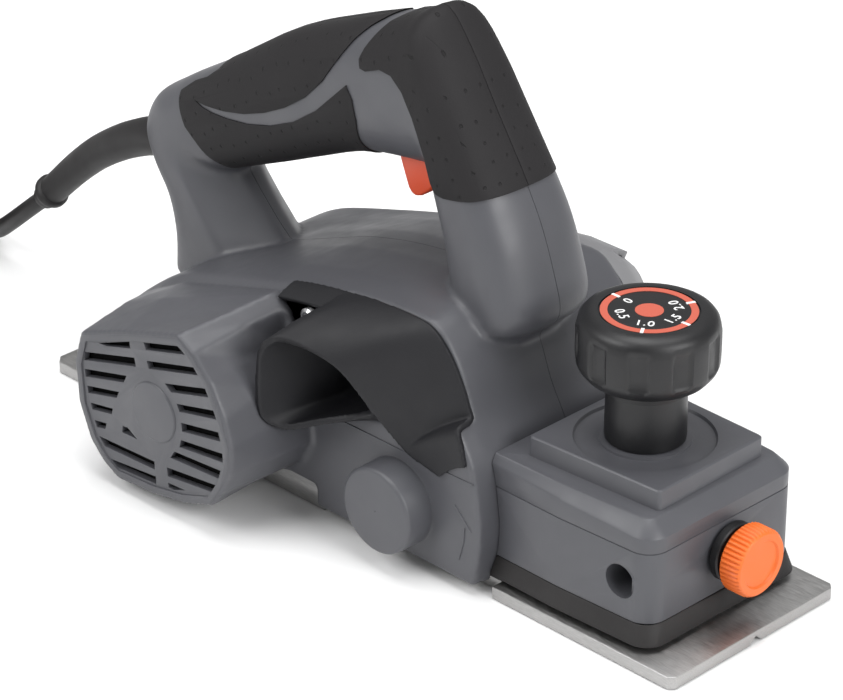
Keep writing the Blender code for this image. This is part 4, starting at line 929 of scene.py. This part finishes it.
def add_chute():
    """Tube, hood and flange as thickened sheets, melted into one piece."""
    mouth = around([row[0] for row in TUBE_ROWS], 3)
    wall = around([(x, TUBE_WALL, z) for _, (x, z) in TUBE_ROWS], 3)
    inner = []
    for x, _, z in wall:
        inner.append((THROAT[0] + (x - TUBE_MIDDLE) * THROAT_SHARE, THROAT[1],
                      THROAT[2] + (z - THROAT[2]) * THROAT_SHARE))
    pieces = [sheet(ruled(mouth, wall, 4) + ruled(wall, inner, 3)[1:], True, 2.4)]
    for rows, bulge in ((HOOD_ROWS, 1.3), (FLANGE_ROWS, 0.5)):
        outer = through([row[0] for row in rows], 4)
        edge = through([row[1] for row in rows], 4)
        pieces.append(sheet(ruled(outer, edge, 6, bulge), False, 2.3))
    merged = bmesh.new()
    for piece in pieces:
        merged.from_mesh(piece.data)
        bpy.data.objects.remove(piece, do_unlink=True)
    mesh = bpy.data.meshes.new("chute_hood")
    merged.to_mesh(mesh)
    merged.free()
    hood = linked("chute_hood", mesh)
    voxels(hood, 0.6, 3)
    place(hood, "chute_hood", CHUTE_BLACK, "chute", smooth=50.0)


# ---- front housing and knob

HOUSING_FRONT = 139.5
CHAMFER = 4.6
SEAM = 40.2
SKIRT_LOW = 6.9
KNOB = (103.75, 0.0)
ROD = (126.4, 27.5)


def housing_plan(grow=0.0):
    """The front housing's plan, its near side slightly askew."""
    corners = [(40.0, -36.2 - grow), (100.0, -37.0 - grow), (HOUSING_FRONT - 0.8 + grow, -35.4 - grow),
               (HOUSING_FRONT + grow, 36.6 + grow), (100.0, 38.0 + grow), (40.0, 37.8 + grow)]
    return rounded(corners, 8.0, 8)


def body_trim():
    """The body's bulk, to cut away where a front piece meets it."""
    return prism([(x + (0.35 if x > 0 else 0), z) for x, z in body_profile()], "Y", -60.0, 60.0)


def turned_dish():
    """The shallow dish round the knob's neck, with a raised ring left inside it."""
    rows = [(15.6, 58.6), (15.6, 57.3), (16.4, 57.1), (22.2, 56.9), (23.4, 57.2), (24.2, 58.6)]
    return raw(turned_ring(rows, "Z", KNOB, 80))


def housing_block():
    """The housing's block: upright sides, a chamfer that widens forwards, and a pad on top."""
    base = housing_plan()
    rings = [[lay(p, "Z", 13.6) for p in inset(base, 0.9)], [lay(p, "Z", 14.4) for p in base],
             [lay(p, "Z", 30.0) for p in base]]
    # share of the chamfer, its height at the rear, and how much lower it is at the front
    for share, height, fall in ((0.0, 48.6, 2.8), (0.12, 49.3, 2.8), (1.0, 50.6, 0.0),
                                (1.14, 50.9, 0.0)):
        ring = []
        for (x, y), (ix, iy) in zip(base, inset(base, CHAMFER)):
            ahead = ramp(x, 70.0, 135.0)
            mix = share * (0.45 + 0.55 * ahead)
            ring.append((x + (ix - x) * mix, y + (iy - y) * mix, height - fall * ahead))
        rings.append(ring)
    block = raw(loft(rings))
    pad = rounded([(76.6, -27.4), (132.0, -24.4), (131.4, 27.4), (76.6, 28.8)], 1.6, 4)
    return join(block, stack("Z", (pad, 48.0), (pad, 57.7), (inset(pad, 0.5), 58.2)))


def add_front_housing():
    base = housing_plan()
    block = housing_block()
    cut(block, prism(inset(base, 2.8), "Z", 10.0, 45.0),
        lathe([(5.3, 40.0), (5.3, 70.0)], "Z", KNOB, 32),
        turned_dish(),
        lathe([(6.1, -33.0), (6.1, -36.2), (7.0, -38.0)], "Y", ROD, 40),
        lathe([(3.4, 130.0), (3.4, 150.0)], "X", FENCE, 24), body_trim())
    seam = cut(raw(prism(inset(base, -1.0), "Z", SEAM, SEAM + 0.5)),
               prism(inset(base, 0.28), "Z", SEAM - 1.2, SEAM + 1.8))
    cut(block, seam)
    bevelled(block, 0.35, 2, 33.0)
    place(block, "front_block", HOUSING, "front_housing", smooth=30.0)
    socket = turned_ring([(6.05, -36.0), (6.05, -20.0), (7.6, -20.0), (7.6, -35.0)], "Y", ROD, 40)
    place(raw(socket), "rod_socket", HOUSING, body="machine", slot="housing_gray")
    skirt = raw(stack("Z", (housing_plan(2.2), SKIRT_LOW), (housing_plan(1.9), 8.0),
                      (housing_plan(0.3), 14.2)))
    cut(skirt, prism(rounded([(50.0, -35.2), (138.0, -35.2), (138.0, 36.2), (50.0, 36.2)], 6.0), "Z",
                     0.0, 20.0), body_trim())
    place(bevelled(skirt, 0.4, 2), "front_skirt_band", SKIRT_BLACK, "front_skirt", smooth=35.0)
    gasket = cad_copy("shoe_gasket")
    place(bevelled(gasket, 0.3, 2), "shoe_gasket_band", SKIRT_BLACK, "shoe_gasket", smooth=35.0)


LOBES = 10
LOBE_ANGLE = math.radians(16.0)
DIAL = 104.45
PRINT = 0.17
MARK_STEP = 61.5
ON_DIAL = {"body": "adjuster", "slot": "orange"}


def knob_radius(row, radius, angle):
    """Finger recesses round the knob between its two rims."""
    if not 9 <= row <= 14:
        return radius
    turn = (angle - LOBE_ANGLE) * LOBES / (2 * math.pi)
    away = abs(turn - round(turn))
    depth = 0.95 if 10 <= row <= 13 else 0.45
    return radius - depth * (1.0 - ramp(away, 0.205, 0.25))


def add_knob():
    """The depth knob with its dial: plate, ring, centre spot, ticks and numbers."""
    profile = [(13.6, 58.7), (13.74, 60.0), (13.5, 77.0), (14.7, 77.3), (15.0, 79.4), (17.6, 80.4),
               (20.8, 82.2), (22.9, 84.8), (23.5, 86.2), (23.7, 86.9), (23.8, 87.6), (23.9, 91.0),
               (23.9, 95.0), (23.85, 98.4), (23.7, 99.2), (23.5, 100.2), (23.0, 102.0), (21.8, 103.5),
               (20.0, 104.4), (18.0, 104.7), (16.7, 104.7), (16.6, 104.1)]
    knob = raw(lathe(profile, "Z", KNOB, 240, knob_radius))
    cut(knob, lathe([(3.3, 50.0), (3.3, 74.0)], "Z", KNOB, 20))
    place(knob, "knob_grip", KNOB_BLACK, "depth_knob", smooth=38.0)
    disc = raw(lathe([(16.2, 104.12), (16.2, DIAL), (16.0, DIAL + 0.05)], "Z", KNOB, 96))
    place(disc, "dial_plate", KNOB_BLACK, body="adjuster", slot="hard_black", replaced=["depth_dial"])
    ring = turned_ring([(13.6, DIAL), (13.6, DIAL + PRINT), (16.05, DIAL + PRINT), (16.05, DIAL)],
                       "Z", KNOB, 96)
    place(raw(ring), "dial_ring_mark", SALMON, **ON_DIAL)
    spot = raw(lathe([(4.7, DIAL), (4.7, DIAL + PRINT)], "Z", KNOB, 48))
    place(spot, "dial_spot", SALMON, **ON_DIAL)
    for k, label in enumerate(("0", "0.5", "1.0", "1.5", "2.0")):
        angle = math.radians(-180.0 + MARK_STEP * k)
        add_dial_mark(k, label, angle)


def add_dial_mark(k, label, angle):
    """One number of the dial with its tick; the second number has no tick."""
    c, s = math.cos(angle), math.sin(angle)
    if k != 1:
        tick = []
        for along, across in ((13.1, -0.55), (16.3, -0.55), (16.3, 0.55), (13.1, 0.55)):
            tick.append((KNOB[0] + along * c - across * s, KNOB[1] + along * s + across * c))
        place(raw(prism(tick, "Z", DIAL + 0.05, DIAL + 0.25)), f"dial_tick_{k}", WHITE,
              **ON_DIAL)
    text = bpy.data.curves.new(f"dial_number_{k}", "FONT")
    text.body = label
    text.size = 4.9
    text.space_character = 1.12
    text.align_x = "CENTER"
    text.align_y = "CENTER"
    text.extrude = 0.06
    text.offset = 0.04
    text.resolution_u = 3
    flat = linked("flat", text)
    mesh = evaluated(flat)
    bpy.data.objects.remove(flat, do_unlink=True)
    number = linked(f"number_{k}", mesh)
    spin = Matrix.Rotation(angle + math.pi / 2, 4, "Z")
    middle = Vector((KNOB[0] + 9.6 * c, KNOB[1] + 9.6 * s, DIAL + 0.13))
    mesh.transform(Matrix.Translation(middle) @ spin)
    place(number, f"dial_number_{k}", WHITE, smooth=30.0, **ON_DIAL)


FENCE = (2.0, 29.2)
FENCE_FACE = 154.0
FENCE_THICK = 8.6
TEETH = 44


def knurl(row, radius, angle):
    """Grip teeth on the two widest rows of the fence thumbscrew."""
    if row not in (1, 2):
        return radius
    wave = 0.5 + 0.5 * math.cos(angle * TEETH)
    return radius - 0.75 * (1 - min(1.0, wave * 1.6))


def add_fence_knob():
    back = FENCE_FACE - FENCE_THICK
    profile = [(11.0, back), (12.0, back + 0.9), (12.0, FENCE_FACE - 1.5), (11.3, FENCE_FACE - 0.4),
               (10.8, FENCE_FACE), (8.6, FENCE_FACE), (8.0, FENCE_FACE - 0.7), (4.0, FENCE_FACE - 0.7)]
    knob = raw(lathe(profile, "X", FENCE, TEETH * 8, knurl))
    cut(knob, lathe([(3.1, back - 1), (3.1, back + 5)], "X", FENCE, 20))
    place(knob, "fence_thumbscrew", BRIGHT, "fence_knob", smooth=35.0)
    back_ring = [(3.6, HOUSING_FRONT + 0.7), (10.0, HOUSING_FRONT + 0.7), (10.4, HOUSING_FRONT + 1.1),
                 (10.4, back - 2.4), (9.9, back - 1.9), (3.6, back - 1.9)]
    place(raw(turned_ring(back_ring, "X", FENCE, 56)), "fence_washer", KNOB_BLACK, "fence_collar",
          smooth=35.0)


# ---- small pieces

# x, z and radius along the strain relief, then distance and radius along its end
BOOT_PATH = [(-128.6, 89.2, 7.3), (-133.0, 88.8, 7.4), (-138.8, 87.9, 7.4), (-146.0, 85.2, 7.2),
             (-158.0, 79.3, 6.9), (-172.0, 70.5, 6.5), (-185.5, 59.6, 6.1), (-200.5, 45.6, 5.7)]
BOOT_END = [(0.3, 6.1), (0.7, 6.6), (1.2, 6.8), (2.9, 6.8), (3.5, 6.5), (4.1, 5.7), (4.4, 5.4),
            (6.4, 5.1), (8.0, 4.9), (8.5, 4.5)]
BOOT_FACETS = 40


def add_boot():
    path = through(BOOT_PATH, 5)
    tail = np.array([-0.731, -0.682])
    rows = [tuple(point) for point in path]
    for along, radius in BOOT_END:
        rows.append((*(path[-1][:2] + tail * along), radius))
    rings = []
    for i, (x, z, radius) in enumerate(rows):
        a = np.array(rows[max(i - 1, 0)][:2])
        b = np.array(rows[min(i + 1, len(rows) - 1)][:2])
        along = (b - a) / np.linalg.norm(b - a)
        if i >= len(path) - 1:
            along = tail
        up = (-along[1], along[0])
        rings.append([(x + radius * math.cos(t) * up[0], radius * math.sin(t),
                       z + radius * math.cos(t) * up[1])
                      for t in [2 * math.pi * k / BOOT_FACETS for k in range(BOOT_FACETS)]])
    place(raw(loft(rings)), "boot", RUBBER, "cord_boot", smooth=50.0)


def add_copies():
    """Pieces whose CAD shape is right, with their edges rounded."""
    for node, width, look, angle in (
            ("front_shoe", 0.4, ALUMINIUM, 30.0), ("trigger", 1.0, ORANGE, 25.0),
            ("lock_button", 0.3, ORANGE, 40.0), ("drum_hood", 0.3, HOUSING, 30.0)):
        obj = cad_copy(node)
        place(bevelled(obj, width, 3, angle), f"{node}_part", look, node, smooth=35.0)
    shoe = cad_copy("rear_shoe")
    # the shoe's side rails, which carry the body
    for side, _ in SIDES:
        y0, y1 = sorted((side * 37.5, side * 41.0))
        join(shoe, box((-117.0, y0, 4.0), (-8.2, y1, 12.6)))
    place(bevelled(shoe, 0.35, 2, 30.0), "rear_shoe_part", ALUMINIUM, "rear_shoe", smooth=35.0)
    add_belt_cover()
    # the bearing cap, a shallow cup
    cap = [(0.2, -57.0), (14.4, -57.0), (15.2, -56.8), (15.7, -56.3), (15.85, -55.6), (15.85, -45.8),
           (14.75, -45.8), (14.75, -54.4), (0.2, -54.4)]
    place(raw(turned_ring(cap, "Y", DRUM, 96)), "bearing_cap_part", HOUSING, "bearing_cap", smooth=35.0)


COVER_OUTLINE = [
    (-70.0, 22.0), (-70.0, 55.0), (-60.0, 65.0), (-38.0, 74.0), (-8.0, 83.5), (20.0, 87.4),
    (38.0, 87.4), (38.8, 87.2), (46.0, 84.8), (51.0, 80.6), (57.0, 72.5), (62.0, 63.0), (66.5, 50.0),
    (69.0, 34.0), (66.0, 18.0), (58.0, 4.6), (14.0, 4.6), (-50.0, 14.0),
]
COVER_STEP = 38.5
COVER_FALL = 6.6
COVER_FRONT_FALL = 9.8
COVER_WALL = 2.4


def add_belt_cover():
    """Cup over the belt drive, its upper edge falling away outwards."""

    def ring(y, share, wall=0.0):
        fall = []
        for x, z in COVER_OUTLINE:
            slope = COVER_FALL if x < COVER_STEP else COVER_FRONT_FALL
            fall.append(wall + 0.8 + slope * share * max(0.1, ramp(z, 40.0, 70.0)))
        return [lay(p, "Y", y) for p in inset(COVER_OUTLINE, fall)]

    cover = raw(loft([ring(45.9, 0.0), ring(50.0, 0.04), ring(55.0, 0.3), ring(60.0, 0.72),
                      ring(63.0, 0.93), ring(64.0, 1.03)]))
    cut(cover, loft([ring(40.0, 0.0, COVER_WALL), ring(50.0, 0.04, COVER_WALL),
                     ring(55.0, 0.3, COVER_WALL), ring(61.6, 0.8, COVER_WALL)]))
    place(bevelled(cover, 0.5, 2, 30.0), "belt_cover_part", COVER, "belt_cover", smooth=32.0)


PANEL_LINES = [
    [(2.0, 43.2), (17.7, 43.3), (35.7, 43.3), (53.4, 43.3), (69.2, 43.6)],
    [(60.8, 32.6), (64.8, 28.8), (68.4, 25.0)],
    [(65.4, 25.4), (65.0, 20.0), (62.9, 12.4)],
]
LINE_HALF = 0.42
LINE_FOOT = -45.0
LINE_TOP = -45.85


def add_panel_lines():
    """Raised lines on the side panel: its upper edge and the turning arrow."""
    for number, line in enumerate(PANEL_LINES):
        rings = []
        for k, (x, z) in enumerate(line):
            ax, az = line[max(k - 1, 0)]
            bx, bz = line[min(k + 1, len(line) - 1)]
            size = math.hypot(bx - ax, bz - az)
            nx = -(bz - az) / size * LINE_HALF
            nz = (bx - ax) / size * LINE_HALF
            rings.append([(x - nx, LINE_FOOT, z - nz), (x + nx, LINE_FOOT, z + nz),
                          (x + nx * 0.4, LINE_TOP, z + nz * 0.4), (x - nx * 0.4, LINE_TOP, z - nz * 0.4)])
        place(raw(loft(rings)), f"panel_line_{number}", HOUSING, body="machine", slot="housing_gray")


# ---- set


def area_light(name, place_at, target, size, power):
    data = bpy.data.lights.new(name, "AREA")
    data.shape = "RECTANGLE"
    data.size, data.size_y = size
    data.energy = power
    aim(linked(name, data), place_at, target)


def add_set():
    """White floor, even pale surroundings and three soft lights."""
    half = 6.0
    floor = raw(([(-half, -half, 0), (half, -half, 0), (half, half, 0), (-half, half, 0)],
                 [[0, 1, 2, 3]]), "floor")
    floor.location.z = -0.0003
    made, _, shader = shader_tree("floor_white", (0.9, 0.9, 0.9), 0.9)
    shader.inputs["Specular IOR Level"].default_value = 0.1
    floor.data.materials.append(made)
    world = bpy.data.worlds.new("studio")
    world.use_nodes = True
    back = world.node_tree.nodes["Background"]
    back.inputs["Color"].default_value = (1.0, 1.0, 1.0, 1.0)
    back.inputs["Strength"].default_value = 0.4
    bpy.context.scene.world = world
    middle = (0.0, 0.0, 0.06)
    area_light("key", (-0.5, -1.3, 1.3), middle, (1.2, 0.9), 18.0)
    area_light("fill", (1.6, 0.0, 0.9), middle, (1.0, 0.9), 19.0)
    area_light("top", (0.0, 0.1, 2.0), (0.0, 0.0, 0.0), (1.6, 1.6), 31.0)
    view = bpy.context.scene.view_settings
    view.view_transform = "Standard"
    view.look = "None"
    view.exposure = 0.0
    view.gamma = 1.0


add_shells()
add_grips()
add_grille()
add_chute()
add_front_housing()
add_knob()
add_fence_knob()
add_boot()
add_copies()
add_panel_lines()
add_set()
